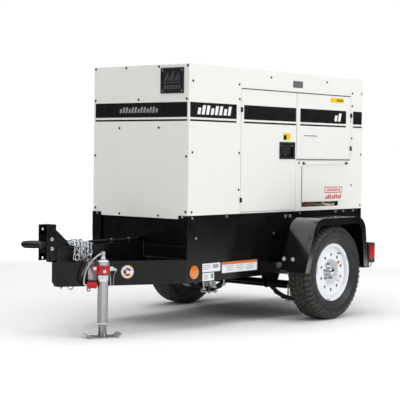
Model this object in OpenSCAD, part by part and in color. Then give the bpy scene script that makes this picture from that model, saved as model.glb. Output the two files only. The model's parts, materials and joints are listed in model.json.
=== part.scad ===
// Towable diesel generator: a silenced enclosure on a single-axle trailer. Millimetres, +X to
// the rear, +Z up, origin on the ground under the middle of the whole length and width.

/* [Enclosure] */
// Length of the white enclosure
enc_l = 2100; // [1750:10:2520]
// Width over the side panels
enc_w = 888; // [740:2:1066]
// Height of the enclosure above the black base
enc_h = 1014; // [845:1:1217]
// Panel sheet thickness
sheet = 3; // [2:0.5:4]
// Gap around a door
door_gap = 3; // [2:0.5:5]
// Fixed panel ahead of the main door
door_x = 558; // [400:2:670]
// Width of the main door
main_door_w = 658; // [548:2:790]
// Fixed panel behind the control door
rear_strip = 170; // [120:2:240]
// Fixed panel above the doors
top_strip = 140; // [100:2:200]
// Height of the control door's lower edge above the base
control_door_up = 384; // [340:2:460]
// Depth of a door's folded edge
door_fold = 18; // [12:1:25]
// Furthest a service door opens
door_open = 110; // [80:5:120]
// Height of the cable slot
slot_h = 34; // [20:1:50]

/* [Base] */
// Height of the black base over the rails
base_h = 291; // [242:1:349]
// Plate thickness of the base
base_t = 4; // [3:0.5:6]
// Width of a front corner post
post_w = 84; // [60:1:110]
// Height of the fuel tank
tank_h = 170; // [120:2:195]

/* [Trailer frame] */
// Height of a side rail
rail_h = 160; // [133:1:192]
// Width of a side rail and of a tongue leg
rail_w = 50; // [42:1:60]
// Wall of the rails, legs and tubes
rail_t = 6; // [4:0.5:8]
// Rail underside below the wheel centre
ride_drop = 18; // [0:1:40]
// Nose of the tongue ahead of the enclosure
tongue_l = 804; // [670:2:960]
// Width of the centre tube
tube_w = 100; // [84:2:120]
// Height of the centre tube
tube_h = 105; // [88:1:126]
// Height of the front cross member
cross_h = 83; // [70:1:95]

/* [Hitch] */
// Bore radius of the towing eye
eye_r = 38; // [32:1:45]
// Radius of the towing eye's bar
eye_bar = 22; // [18:1:26]
// Centre of the eye ahead of the hitch channel's web
eye_reach = 156; // [130:1:180]
// Clear width between the channel's flanges
channel_in = 64; // [54:1:76]
// Height of the hitch channel
channel_h = 230; // [210:2:280]
// Spacing of the height holes
hole_pitch = 61; // [50:1:66]
// Radius of the hitch bolts
bolt_r = 8; // [6:0.5:10]

/* [Wheels] */
// Tyre diameter
tyre_d = 686; // [572:2:822]
// Tyre width
tyre_w = 205; // [171:1:246]
// Rim seat diameter
rim_d = 381; // [330:1:406]
// Distance of the wheels' centre behind the enclosure's front
axle_x = 1260; // [1050:5:1400]
// Gap between a side panel's plane and the tyre
wheel_gap = 137; // [120:1:165]
// Drop of the axle beam below the wheel centre
axle_drop = 123; // [100:1:140]
// Radius of the axle beam
beam_r = 29; // [24:1:35]
// Gap between the tyre and the fender's top
fender_gap = 54; // [40:1:70]
// Depth of the fender's outer lip
lip_h = 50; // [30:1:70]

/* [Jack] */
// Place of the jack along the tongue leg
jack_along = 604; // [500:2:680]
// Jack axis outside the leg's outer face
jack_off = 75; // [72:1:90]
// Radius of the jack's outer tube
jack_r = 34.5; // [30:0.5:36]
// Radius of the jack's inner tube
ram_r = 28; // [24:0.5:30]
// Top of the jack's outer tube above the rails' underside
jack_up = 173; // [160:1:190]
// Length of the outer tube
jack_l = 410; // [342:2:420]
// Width of the foot plate
foot_w = 225; // [188:1:270]
// Radius of the crank's red grip
grip_r = 18; // [15:0.5:22]

/* [Fits] */
// Radial clearance of pins and shafts that turn or slide
run_gap = 0.3; // [0.3:0.05:0.5]
// Gap between pieces that move past each other
part_gap = 1; // [0.6:0.1:2]

/* [Hidden] */
$fn = 48;

// levels
tyre_r = tyre_d/2;
rail_z = tyre_r - ride_drop;
rail_top = rail_z + rail_h;
base_top = rail_top + base_h;
enc_top = base_top + enc_h;
half_w = enc_w/2;

// tongue: the legs run from the rails' front corners to the nose
leg_ang = atan2(half_w, tongue_l);
weld_lap = 6;                          // centre tube past the nose, to the channel's web
web_t = 10;
web_x = -tongue_l - weld_lap;
eye_x = web_x - eye_reach;
eye_flat = 2;                          // depth of the straight wall inside the eye
eye_ring = eye_r + eye_bar - eye_flat;
eye_z = rail_top + 123;
front_reach = -eye_x + eye_ring + eye_bar;
enc_x = (front_reach - enc_l)/2;
channel_z = rail_top + 15;
channel_deep = 80;
flange_t = 8;
hole_x = web_x - 47;
first_hole = eye_z - 1.5*hole_pitch;

// doors
door_z0 = base_top + 8;
door_z1 = enc_top - top_strip;
main_x1 = door_x + main_door_w;
control_x1 = enc_l - rear_strip;
control_z0 = base_top + control_door_up;
cover_x0 = main_x1 + 74;
cover_x1 = control_x1 - 58;
slot_z = base_top + 29;
cover_z0 = slot_z + slot_h + 4;
cover_z1 = control_z0 - 26;
knuckle_r = 6;
pin_r = 2.5;
hinge_h = 70;
hinge_y = half_w + knuckle_r;
hinge_leaf = 26;
hinge_low = door_z0 + 70;
hinge_high = door_z1 - 165;
latch_x = main_x1 - 115;
latch_z = control_z0 + 62;
latch_w = 150;
latch_h = 96;
pan_depth = 24;

// wheels
wheel_y = half_w + wheel_gap + tyre_w/2;
rim_r = rim_d/2;
spindle_r = 15;
hub_r = 46;
bolt_ring = 57.2;
disc_y = 12;                           // wheel disc outboard of the wheel's middle
fender_in = half_w + wheel_gap;
fender_out = fender_in + tyre_w + 15;
fender_top = 2*tyre_r + fender_gap;
fender_low = tyre_r + 20;
fender_x0 = axle_x - tyre_r - 65;      // front foot of the fender
fender_x1 = axle_x + tyre_r + 52;      // rear foot
slant_front = 20;
slant_rear = 7;
fender_round = 115;

// springs
spring_y = half_w - 30;
spring_w = 45;
spring_half = 300;
spring_low = tyre_r - axle_drop - beam_r - 76;
leaf_t = 9;
eye_up = 110;
spring_rad = (spring_half*spring_half + eye_up*eye_up)/(2*eye_up);

// jack, in a frame with +X along the leg to the nose and +Y outboard
jack_top = rail_z + jack_up;
jack_low = jack_top - jack_l;
pivot_z = rail_z + 105;
stub_r = 30;
plate_t = 8;
crank_z = jack_top + 48;
crank_bar = 6;
arm_rad = 200;
arm_x = 126;
arm_low = crank_z - sqrt(arm_rad*arm_rad - pow(arm_rad - arm_x, 2));
hook_r = 20;
grip_x0 = jack_r + 8;
grip_x1 = arm_x - hook_r - 2;
screw_r = 10;
ram_top = jack_top - 120;

// ---- helpers ----
module at_front() { translate([enc_x, 0, 0]) children(); }
module box(x0, x1, y0, y1, z0, z1) { translate([x0, y0, z0]) cube([x1 - x0, y1 - y0, z1 - z0]); }
module rod_x(r, x0, x1, y, z) { translate([x0, y, z]) rotate([0, 90, 0]) cylinder(r = r, h = x1 - x0); }
module rod_y(r, y0, y1, x, z) { translate([x, y1, z]) rotate([90, 0, 0]) cylinder(r = r, h = y1 - y0); }
module rod_z(r, z0, z1, x, y) { translate([x, y, z0]) cylinder(r = r, h = z1 - z0); }
module both_sides() { children(); mirror([0, 1, 0]) children(); }
module at_jack() {
  at_front() translate([0, -half_w, 0]) rotate([0, 0, 180 - leg_ang])
    translate([jack_along, jack_off, 0]) children();
}
// a plate in the side plane, y0 to y1 outwards from the middle, mirrored by side
module side_plate(side, x0, x1, y0, y1, z0, z1) {
  if (side < 0) box(x0, x1, -y1, -y0, z0, z1);
  else box(x0, x1, y0, y1, z0, z1);
}

// ---- trailer frame ----
module side_rail(side) {
  color("black") at_front() difference() {
    side_plate(side, 0, enc_l, half_w - rail_w, half_w, rail_z, rail_top);
    side_plate(side, -1, enc_l + 1, half_w - rail_w - 1, half_w - rail_t,
      rail_z + rail_t, rail_top - rail_t);
  }
}
module side_rail_left() { side_rail(-1); }
module side_rail_right() { side_rail(1); }

module leg_plan(w, more) {
  in_y = w/cos(leg_ang);
  in_x = w/sin(leg_ang);
  polygon([[more, -half_w - more*tan(leg_ang)], [-tongue_l, 0],
    [-tongue_l + in_x, 0], [more, -half_w + in_y - more*tan(leg_ang)]]);
}
module leg_left() {
  chamfer = 45;
  difference() {
    translate([0, 0, rail_z]) linear_extrude(rail_h) leg_plan(rail_w, 0);
    // hollow, open at the rail
    translate([0, 0, rail_z + rail_t]) linear_extrude(rail_h - 2*rail_t)
      intersection() {
        translate([rail_t/sin(leg_ang), 0]) leg_plan(rail_w - 2*rail_t, 20);
        translate([-tongue_l, -enc_w]) square([tongue_l + 20, enc_w - rail_t]);
      }
    translate([-tongue_l, 0, rail_z]) rotate([0, 45, 0]) cube([chamfer, 2*enc_w, chamfer], center = true);
  }
}
module tongue_leg_left() { color("black") at_front() leg_left(); }
module tongue_leg_right() { color("black") at_front() mirror([0, 1, 0]) leg_left(); }

module centre_tube() {
  color("black") at_front() difference() {
    box(web_x, 0, -tube_w/2, tube_w/2, rail_top, rail_top + tube_h);
    box(web_x - 1, 1, -tube_w/2 + rail_t, tube_w/2 - rail_t, rail_top + rail_t, rail_top + tube_h - rail_t);
  }
}

module cross_tube(x, y, z0, z1) {
  tube_l = 60;
  difference() {
    box(x, x + tube_l, -y, y, z0, z1);
    box(x + rail_t, x + tube_l - rail_t, -y - 1, y + 1, z0 + rail_t, z1 - rail_t);
  }
}
module cross_members() {
  mid_up = 40;                         // the lower members' underside above the rails'
  color("black") at_front() {
    cross_tube(0, half_w - base_t, rail_top, rail_top + cross_h);
    for (x = [door_x, axle_x + 90, enc_l - 60])
      cross_tube(x, half_w - rail_w, rail_z + mid_up, rail_top);
  }
}

module hitch_channel() {
  flange_y = channel_in/2;
  color("black") at_front() difference() {
    union() {
      box(web_x - web_t, web_x, -flange_y - flange_t, flange_y + flange_t, channel_z, channel_z + channel_h);
      for (s = [-1, 1])
        box(web_x - channel_deep, web_x - web_t, min(s*flange_y, s*(flange_y + flange_t)),
          max(s*flange_y, s*(flange_y + flange_t)), channel_z, channel_z + channel_h);
      // gusset on the centre tube
      translate([0, flange_t/2, rail_top + tube_h]) rotate([90, 0, 0]) linear_extrude(flange_t)
        polygon([[web_x, 0], [web_x + 80, 0], [web_x, channel_z + channel_h - rail_top - tube_h - 25]]);
    }
    for (i = [0:3])
      rod_y(bolt_r + 0.5, -channel_in, channel_in, hole_x, first_hole + i*hole_pitch);
  }
}

module towing_eye() {
  block_h = hole_pitch + 54;
  block_y = channel_in/2 - part_gap;
  color("black") at_front() difference() {
    union() {
      translate([eye_x, 0, eye_z]) rotate_extrude() intersection() {
        translate([eye_ring, 0]) circle(r = eye_bar);
        translate([eye_r, -eye_bar]) square([3*eye_bar, 2*eye_bar]);
      }
      box(web_x - channel_deep - 8, web_x - web_t - 4, -block_y, block_y,
        eye_z - block_h/2, eye_z + block_h/2);
    }
    translate([eye_x, 0, eye_z - block_h]) cylinder(r = eye_r, h = 2*block_h);
    for (s = [-1, 1]) rod_y(bolt_r + 0.5, -channel_in, channel_in, hole_x, eye_z + s*hole_pitch/2);
  }
}

module hitch_bolts() {
  head_y = channel_in/2 + flange_t;
  color("silver") at_front() for (s = [-1, 1]) {
    z = eye_z + s*hole_pitch/2;
    rod_y(bolt_r, -head_y - 20, head_y, hole_x, z);
    translate([hole_x, head_y, z]) rotate([-90, 0, 0]) cylinder(r = 1.7*bolt_r, h = 10, $fn = 6);
    translate([hole_x, -head_y, z]) rotate([90, 0, 0]) difference() {
      cylinder(r = 1.7*bolt_r, h = 12, $fn = 6);
      translate([0, 0, -1]) cylinder(r = bolt_r - 0.2, h = 14);
    }
  }
}

// the chains' bundle, over the centre tube and down its sides
module safety_chains() {
  x0 = 0.27*tongue_l;
  thick = 34;
  color("silver") at_front() translate([web_x + 80, 0, 0]) difference() {
    box(0, x0, -tube_w/2 - thick, tube_w/2 + thick, rail_top + part_gap, rail_top + tube_h + thick);
    box(-1, x0 + 1, -tube_w/2 - part_gap, tube_w/2 + part_gap, rail_top - 1, rail_top + tube_h + part_gap);
  }
}

// ---- axle and springs ----
module drop_axle() {
  arm_y = half_w + 56;
  z = tyre_r - axle_drop;
  color("black") at_front() {
    rod_y(beam_r, -arm_y, arm_y, axle_x, z);
    both_sides() {
      difference() {
        box(axle_x - beam_r, axle_x + beam_r, -arm_y - 24, -arm_y, z - beam_r, tyre_r + 30);
        rod_y(spindle_r, -arm_y - 40, -arm_y + 10, axle_x, tyre_r);
      }
      rod_y(spindle_r, -wheel_y - 44, -arm_y, axle_x, tyre_r);
    }
  }
}

module leaf(rad, thick, half_ang, y, z_mid) {
  translate([axle_x, y + spring_w/2, z_mid + rad]) rotate([90, 0, 0]) rotate([0, 0, -90 - half_ang])
    rotate_extrude(angle = 2*half_ang, $fn = 96) translate([rad - thick, 0]) square([thick, spring_w]);
}
module leaf_springs() {
  half_ang = asin(spring_half/spring_rad);
  eye_o = 16;
  eye_i = 8.5;
  color("dimgray") at_front() both_sides() {
    difference() {
      union() {
        leaf(spring_rad, leaf_t, half_ang, -spring_y, spring_low + 2*leaf_t);
        for (s = [-1, 1])
          rod_y(eye_o, -spring_y - spring_w/2, -spring_y + spring_w/2, axle_x + s*spring_half,
            spring_low + 2*leaf_t + eye_up + eye_o/2);
      }
      for (s = [-1, 1])
        rod_y(eye_i, -spring_y - spring_w, -spring_y + spring_w, axle_x + s*spring_half,
          spring_low + 2*leaf_t + eye_up + eye_o/2);
    }
    leaf(spring_rad + leaf_t, leaf_t, 0.72*half_ang, -spring_y, spring_low + leaf_t);
    leaf(spring_rad + 2*leaf_t, leaf_t, 0.42*half_ang, -spring_y, spring_low);
  }
}

module spring_hangers() {
  eye_z0 = spring_low + 2*leaf_t + eye_up + 8;
  ear = 6;
  inside = spring_w/2 + part_gap;
  color("black") at_front() both_sides() for (s = [-1, 1]) {
    x = axle_x + s*spring_half;
    difference() {
      for (e = [-1, 1])
        translate([x, -spring_y + e*(inside + ear/2) + ear/2, 0]) rotate([90, 0, 0]) linear_extrude(ear)
          polygon([[-75, rail_z], [75, rail_z], [24, eye_z0 - 24], [-24, eye_z0 - 24]]);
      rod_y(8.2, -spring_y - spring_w, -spring_y + spring_w, x, eye_z0);
    }
    rod_y(8, -spring_y - inside - 20, -spring_y + inside + 20, x, eye_z0);
  }
}

module axle_u_bolts() {
  z = tyre_r - axle_drop;
  wire = 6;
  reach = beam_r + wire + 2;
  color("silver") at_front() both_sides() {
    // seat between spring and beam, and the tie plate below
    difference() {
      box(axle_x - beam_r, axle_x + beam_r, -spring_y - spring_w/2, -spring_y + spring_w/2,
        spring_low + 3*leaf_t + 3, z);
      rod_y(beam_r + 0.05, -spring_y - spring_w, -spring_y + spring_w, axle_x, z);
    }
    for (e = [-1, 1]) {
      y = -spring_y + e*(spring_w/2 + wire + 2);
      for (s = [-1, 1]) rod_z(wire, spring_low - 20, z, axle_x + s*reach, y);
      translate([axle_x, y, z]) rotate([90, 0, 0])
        rotate_extrude(angle = 180) translate([reach, 0]) circle(r = wire);
    }
    difference() {
      box(axle_x - reach - 20, axle_x + reach + 20, -spring_y - spring_w/2 - 20, -spring_y + spring_w/2 + 20,
        spring_low - 10, spring_low - 1);
      for (e = [-1, 1], s = [-1, 1])
        rod_z(wire + 0.5, spring_low - 30, spring_low + 10, axle_x + s*reach,
          -spring_y + e*(spring_w/2 + wire + 2));
    }
  }
}

// ---- fenders ----
module fender_outline(inset) {
  x0 = fender_x0 + inset;
  x1 = fender_x1 - inset;
  top = fender_top - inset;
  rise = top - fender_low;
  round_r = fender_round - inset;
  below = fender_low - 3*fender_round;
  offset(r = round_r, $fn = 64) offset(delta = -round_r)
    polygon([[x0, fender_low], [x0 + rise*tan(slant_front), top], [x1 - rise*tan(slant_rear), top],
      [x1, fender_low], [x1, below], [x0, below]]);
}
module fender_ring(depth, y0, y1) {
  translate([0, -y0, 0]) rotate([90, 0, 0]) linear_extrude(y1 - y0) difference() {
    fender_outline(0);
    fender_outline(depth);
    translate([0, fender_low - 4*tyre_r]) square([enc_l, 4*tyre_r]);
  }
}
// a brace from the rail to a foot of the fender; inward is +1 at the front foot, -1 at the rear
module fender_brace(foot, inward) {
  brace_t = 5;
  brace_in = 30;
  x = foot + inward*brace_in;
  y = -fender_in - 60;
  box(x - brace_t/2, x + brace_t/2, y, -half_w, fender_low - 20, fender_low + 60);
  box(min(x, foot + 2*inward), max(x, foot + 2*inward), y, -fender_in, fender_low - 3, fender_low + 3);
}
module fender_shape() {
  fender_ring(sheet, fender_in, fender_out);
  fender_ring(lip_h, fender_out - sheet, fender_out);
  fender_brace(fender_x0, 1);
  fender_brace(fender_x1, -1);
}
module fender_left() { color("black") at_front() fender_shape(); }
module fender_right() { color("black") at_front() mirror([0, 1, 0]) fender_shape(); }

// ---- tail lights ----
light_x = fender_x1 + 5;
light_l = 92;
light_h = 150;
light_z = fender_low + 27;
loop_r = 30;
module light_housings() {
  color("black") at_front() both_sides() {
    box(light_x, light_x + light_l, -fender_out + 1, -fender_out + 101, light_z, light_z + light_h);
    box(light_x + 15, light_x + 75, -fender_out + 40, -half_w, light_z - 40, light_z);
    // wiring loop under the housing
    translate([light_x + light_l/2, -fender_out + 20, light_z]) rotate([90, 0, 0]) rotate([0, 0, 180])
      rotate_extrude(angle = 180) translate([loop_r, 0]) circle(r = 3.5, $fn = 16);
  }
}
module light_lenses() {
  inset = 14;
  lens_t = 5;
  color("red") at_front() both_sides() {
    box(light_x + inset, light_x + light_l - 9, -fender_out + 1 - lens_t, -fender_out + 1,
      light_z + 32, light_z + light_h - 22);
    box(light_x + light_l, light_x + light_l + lens_t, -fender_out + inset, -fender_out + 88,
      light_z + 20, light_z + light_h - 14);
  }
}

// ---- base ----
floor_z = rail_top + cross_h;
front_gap = 24;                        // the front panel laps the base by this much
post_d = 30;                           // corner post round the side
module base_pan() {
  post_lip = 5;
  color("black") at_front() {
    for (s = [-1, 1]) side_plate(s, sheet, enc_l, half_w - base_t, half_w, rail_top, base_top);
    box(12, 12 + base_t, -half_w + base_t, half_w - base_t, floor_z, base_top);
    box(enc_l - base_t, enc_l, -half_w + base_t, half_w - base_t, rail_top, base_top);
    box(12, enc_l - base_t, -half_w + base_t, half_w - base_t, floor_z, floor_z + base_t);
    for (s = [-1, 1])
      side_plate(s, -post_lip, 0, half_w - post_w + base_t, half_w + base_t, floor_z, base_top);
    for (s = [-1, 1])
      side_plate(s, -post_lip, post_d, half_w, half_w + base_t, floor_z, base_top);
  }
}

module skirt_bolts() {
  head_r = 9;
  head_h = 5;
  bolt_z = base_top - 6;
  color("silver") at_front() both_sides() {
    for (x = [post_d + head_r + 2, 407, axle_x + 9, axle_x + 474, enc_l - 262, enc_l - 122])
      rod_y(head_r, -half_w - base_t - head_h, -half_w, x, bolt_z - 10);
    for (x = [85, axle_x - 308])
      rod_y(head_r, -half_w - head_h, -half_w, x, rail_top + 138);
  }
}

module fuel_tank() {
  cap_r = 40;
  tank_z = floor_z + base_t;
  color("dimgray") at_front() {
    box(250, enc_l - 250, -half_w + 60, half_w - 60, tank_z, tank_z + tank_h);
    rod_z(cap_r, tank_z + tank_h, tank_z + tank_h + 25, enc_l - 320, half_w - 140);
  }
}

bed_h = 60;
module engine_bed() {
  color("black") at_front() both_sides() difference() {
    box(20, enc_l - 20, -220, -160, base_top, base_top + bed_h);
    box(10, enc_l - 10, -230, -166, base_top + 6, base_top + bed_h - 6);
  }
  color("black") at_front() for (x = [12 + base_t, enc_l - base_t - 50]) difference() {
    box(x, x + 50, -half_w + base_t, half_w - base_t, base_top - 50, base_top);
    box(x + base_t, x + 50 - base_t, -half_w, half_w, base_top - 50 + base_t, base_top - base_t);
  }
}

// ---- enclosure ----
module front_panel() {
  color("white") at_front()
    box(0, sheet, -half_w, half_w, base_top - front_gap, enc_top - sheet);
}

module rear_panel() {
  slot_w = 620;
  color("white") at_front() difference() {
    box(enc_l - sheet, enc_l, -half_w, half_w, base_top, enc_top - sheet);
    for (i = [0:13])
      box(enc_l - 2*sheet, enc_l + sheet, -slot_w/2, slot_w/2, base_top + 230 + i*40, base_top + 244 + i*40);
  }
}

module roof() {
  exhaust_r = 42;
  color("white") at_front() {
    difference() {
      box(0, enc_l, -half_w, half_w, enc_top - sheet, enc_top);
      // discharge grille over the radiator, and the exhaust outlet
      for (i = [0:7]) box(70 + i*34, 84 + i*34, -300, 300, enc_top - 2*sheet, enc_top + sheet);
      rod_z(exhaust_r, enc_top - 2*sheet, enc_top + sheet, enc_l - 640, 180);
    }
  }
}

module side_blank(side) {
  side_plate(side, sheet, enc_l - sheet, half_w - sheet, half_w, base_top, enc_top - sheet);
}
module side_cut(side, x0, x1, z0, z1) {
  side_plate(side, x0, x1, half_w - 2*sheet, half_w + sheet, z0, z1);
}
// a recessed post behind the seam of two doors
module seam_post(side, x) {
  deep = half_w - door_fold - 2*sheet - 2;
  side_plate(side, x - 25, x + 25, deep - sheet, deep, base_top, enc_top - sheet);
}
module left_side_panel() {
  color("white") at_front() {
    difference() {
      side_blank(-1);
      side_cut(-1, door_x, main_x1, door_z0, door_z1);
      side_cut(-1, main_x1 - 1, control_x1, control_z0, door_z1);
      side_cut(-1, cover_x0 + 20, cover_x1 - 20, cover_z0 + 12, cover_z1 - 12);
      side_cut(-1, cover_x0, cover_x1 - 100, slot_z, slot_z + slot_h);
    }
    seam_post(-1, main_x1);
  }
}
module right_side_panel() {
  color("white") at_front() difference() {
    side_blank(1);
    side_cut(1, door_x, main_x1, door_z0, door_z1);
  }
}

module badge_plate() {
  color("black") at_front() box(-4, 0, -half_w + 45, -half_w + 251, enc_top - 195, enc_top - 24);
}

// a door: skin with folded edges, and the hinge knuckles that turn with it
module door(side, x0, x1, z0, z1, hinge_at, knuckles) {
  difference() {
    side_plate(side, x0 + door_gap, x1 - door_gap, half_w - door_fold, half_w, z0 + door_gap, z1 - door_gap);
    side_plate(side, x0 + door_gap + sheet, x1 - door_gap - sheet, half_w - door_fold - 1, half_w - sheet,
      z0 + door_gap + sheet, z1 - door_gap - sheet);
  }
  for (z = knuckles) hinge_half(side, hinge_at, hinge_at == x0 ? 1 : -1, z, z + hinge_h/2 - 1);
}
// one half of a hinge: leaf on the skin and a bored knuckle; toward is the side its leaf lies on
module hinge_half(side, x, toward, z0, z1) {
  y = side*hinge_y;
  lift = 0.4;
  difference() {
    union() {
      rod_z(knuckle_r, z0, z1, x, y);
      translate([x + (toward > 0 ? door_gap : -hinge_leaf), side < 0 ? -half_w - 3 : half_w, z0])
        cube([hinge_leaf - door_gap, 3, z1 - z0]);
      translate([x + (toward > 0 ? 0 : -door_gap - 1), side < 0 ? -half_w - 3 : half_w + lift, z0])
        cube([door_gap + 1, 3 - lift, z1 - z0]);
    }
    rod_z(pin_r + run_gap, z0 - 1, z1 + 1, x, y);
  }
}
module hinge_fixed(side, x, toward, z) {
  hinge_half(side, x, toward, z - hinge_h/2, z - 1);
  rod_z(pin_r + run_gap, z - hinge_h/2, z - 1, x, side*hinge_y);
  rod_z(pin_r, z - 1, z + hinge_h/2 - 1, x, side*hinge_y);
  rod_z(pin_r + 1.5, z + hinge_h/2 - 1 + 0.5, z + hinge_h/2 + 3, x, side*hinge_y);
  rod_z(pin_r, z + hinge_h/2 - 1, z + hinge_h/2 + 3, x, side*hinge_y);
}
control_low = control_z0 + 70;
module panel_hinges() {
  color("white") at_front() {
    for (z = [hinge_low, hinge_high]) {
      hinge_fixed(-1, door_x, -1, z);
      hinge_fixed(1, door_x, -1, z);
    }
    for (z = [control_low, hinge_high]) hinge_fixed(-1, control_x1, 1, z);
  }
}

// the black pan that holds a paddle handle
module latch_pan(side) {
  wall = 3;
  difference() {
    side_plate(side, latch_x - latch_w/2 - 12, latch_x + latch_w/2 + 12, half_w - pan_depth, half_w + 2,
      latch_z - latch_h/2 - 12, latch_z + latch_h/2 + 12);
    side_plate(side, latch_x - latch_w/2, latch_x + latch_w/2, half_w - pan_depth + wall, half_w + 3,
      latch_z - latch_h/2, latch_z + latch_h/2);
  }
  // pivot pin across the pan
  rod_x(3, latch_x - latch_w/2 - 2, latch_x + latch_w/2 + 2, side*(half_w - 10), latch_z + latch_h/2 - 12);
}
module left_main_door() {
  color("white") at_front() {
    difference() {
      door(-1, door_x, main_x1, door_z0, door_z1, door_x, [hinge_low, hinge_high]);
      side_plate(-1, latch_x - latch_w/2 - 10, latch_x + latch_w/2 + 10, half_w - 30, half_w + 10,
        latch_z - latch_h/2 - 10, latch_z + latch_h/2 + 10);
    }
    latch_pan(-1);
  }
}
module left_control_door() {
  color("white") at_front()
    door(-1, main_x1, control_x1, control_z0, door_z1, control_x1, [control_low, hinge_high]);
}
module right_service_door() {
  color("white") at_front() {
    difference() {
      door(1, door_x, main_x1, door_z0, door_z1, door_x, [hinge_low, hinge_high]);
      side_plate(1, latch_x - latch_w/2 - 10, latch_x + latch_w/2 + 10, half_w - 30, half_w + 10,
        latch_z - latch_h/2 - 10, latch_z + latch_h/2 + 10);
    }
    latch_pan(1);
  }
}

// paddle: an eye on the pan's pin and a plate that hangs from it
module paddle(side) {
  w = latch_w - 40;
  y = side*(half_w - 10);
  z = latch_z + latch_h/2 - 12;
  difference() {
    union() {
      rod_x(7, latch_x - w/2, latch_x + w/2, y, z);
      side_plate(side, latch_x - w/2, latch_x + w/2, half_w - 13, half_w - 7, latch_z - latch_h/2 + 20, z);
    }
    rod_x(3 + run_gap, latch_x - w, latch_x + w, y, z);
  }
}
module left_latch_handle() { color("black") at_front() paddle(-1); }
module right_latch_handle() { color("black") at_front() paddle(1); }

// a lift-up cover over the output terminals, hung on a rod along its top
cover_pin_z = cover_z1 - 8;
cover_pin_y = half_w + 8;
module terminal_cover() {
  color("white") at_front() difference() {
    union() {
      box(cover_x0, cover_x1, -half_w - part_gap - sheet, -half_w - part_gap, cover_z0, cover_pin_z - 8);
      box(cover_x0 + 30, cover_x1 - 30, -half_w - part_gap - sheet, -half_w - part_gap,
        cover_pin_z - 8, cover_pin_z);
      rod_x(6, cover_x0 + 30, cover_x1 - 30, -cover_pin_y, cover_pin_z);
    }
    rod_x(pin_r + run_gap, cover_x0 - 1, cover_x1 + 1, -cover_pin_y, cover_pin_z);
  }
}

module control_panel() {
  x0 = main_x1 + 40;
  x1 = control_x1 - 60;
  color("dimgray") at_front() {
    // instrument box behind the control door
    box(x0, x1, -half_w + 60, -half_w + 180, control_z0 + 30, door_z1 - 30);
    for (i = [0:2]) rod_y(28, -half_w + 50, -half_w + 60, x0 + 80 + i*90, door_z1 - 100);
    for (i = [0:3])
      box(x0 + 60 + i*75, x0 + 105 + i*75, -half_w + 48, -half_w + 60, control_z0 + 80, control_z0 + 150);
    // terminal board behind the lift-up cover
    box(cover_x0 + 40, cover_x1 - 40, -half_w + 60, -half_w + 75, cover_z0 + 20, cover_z1 - 24);
    for (i = [0:4]) rod_y(9, -half_w + 25, -half_w + 60, cover_x0 + 90 + i*80, cover_z0 + 120);
    // rod and brackets of the lift-up cover
    rod_x(pin_r, cover_x0 + 8, cover_x1 - 8, -cover_pin_y, cover_pin_z);
    for (x = [cover_x0 + 8, cover_x1 - 14])
      box(x, x + 6, -cover_pin_y - 6, -half_w, cover_pin_z - 6, cover_pin_z + 14);
  }
}

// ---- power unit ----
crank_h = base_top + 250;
engine_x = 380;
engine_l = 560;
fan_x = engine_x - 62;
cast_t = 22;                           // wall of the engine and alternator castings
bell_r = 36;
fan_mouth = 215;
alt_x = engine_x + engine_l;
alt_l = 520;
battery_gap = 24;                      // least gap behind the alternator
module engine_block() {
  color("dimgray") at_front() {
    difference() {
      union() {
        box(engine_x, engine_x + engine_l, -150, 150, crank_h - 60, crank_h + 200);
        box(engine_x + 30, engine_x + engine_l - 60, -120, 120, crank_h - 170, crank_h - 60);
        box(engine_x + 20, engine_x + engine_l - 20, -110, 110, crank_h + 200, crank_h + 300);
        // feet on the bed
        for (s = [-1, 1], x = [engine_x + 60, engine_x + engine_l - 120])
          box(x, x + 60, min(s*140, s*215), max(s*140, s*215), base_top + bed_h, crank_h - 20);
      }
      rod_x(12, engine_x - 1, engine_x + 40, 0, crank_h + 90);
      // crankcase, sump and head are hollow, open at the flywheel end
      box(engine_x + cast_t, engine_x + engine_l - cast_t, -150 + cast_t, 150 - cast_t,
        crank_h - 60 + cast_t, crank_h + 200 - cast_t);
      box(engine_x + 30 + cast_t, engine_x + engine_l - 60 - cast_t, -120 + cast_t, 120 - cast_t,
        crank_h - 170 + cast_t, crank_h);
      box(engine_x + 20 + cast_t, engine_x + engine_l - 20 - cast_t, -110 + cast_t, 110 - cast_t,
        crank_h, crank_h + 300 - cast_t);
      rod_x(bell_r, engine_x + engine_l - 2*cast_t, engine_x + engine_l + 1, 0, crank_h);
    }
    for (i = [0:3]) rod_z(30, crank_h + 300, crank_h + 325, engine_x + 90 + i*125, -40);
    rod_x(80, engine_x - 16, engine_x, 0, crank_h - 40);
    rod_x(12, engine_x - 90, engine_x + 40, 0, crank_h + 90);
  }
}

module cooling_fan() {
  hub_h = 60;
  color("dimgray") at_front() translate([fan_x, 0, crank_h + 90]) rotate([0, 90, 0]) difference() {
    union() {
      cylinder(r = 45, h = hub_h);
      for (i = [0:5]) rotate([0, 0, i*60]) translate([40, 0, hub_h/2 - 10]) rotate([28, 0, 0])
        translate([0, -35, 0]) cube([150, 70, 4]);
    }
    translate([0, 0, -1]) cylinder(r = 12 + run_gap, h = hub_h + 2);
  }
}

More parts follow.
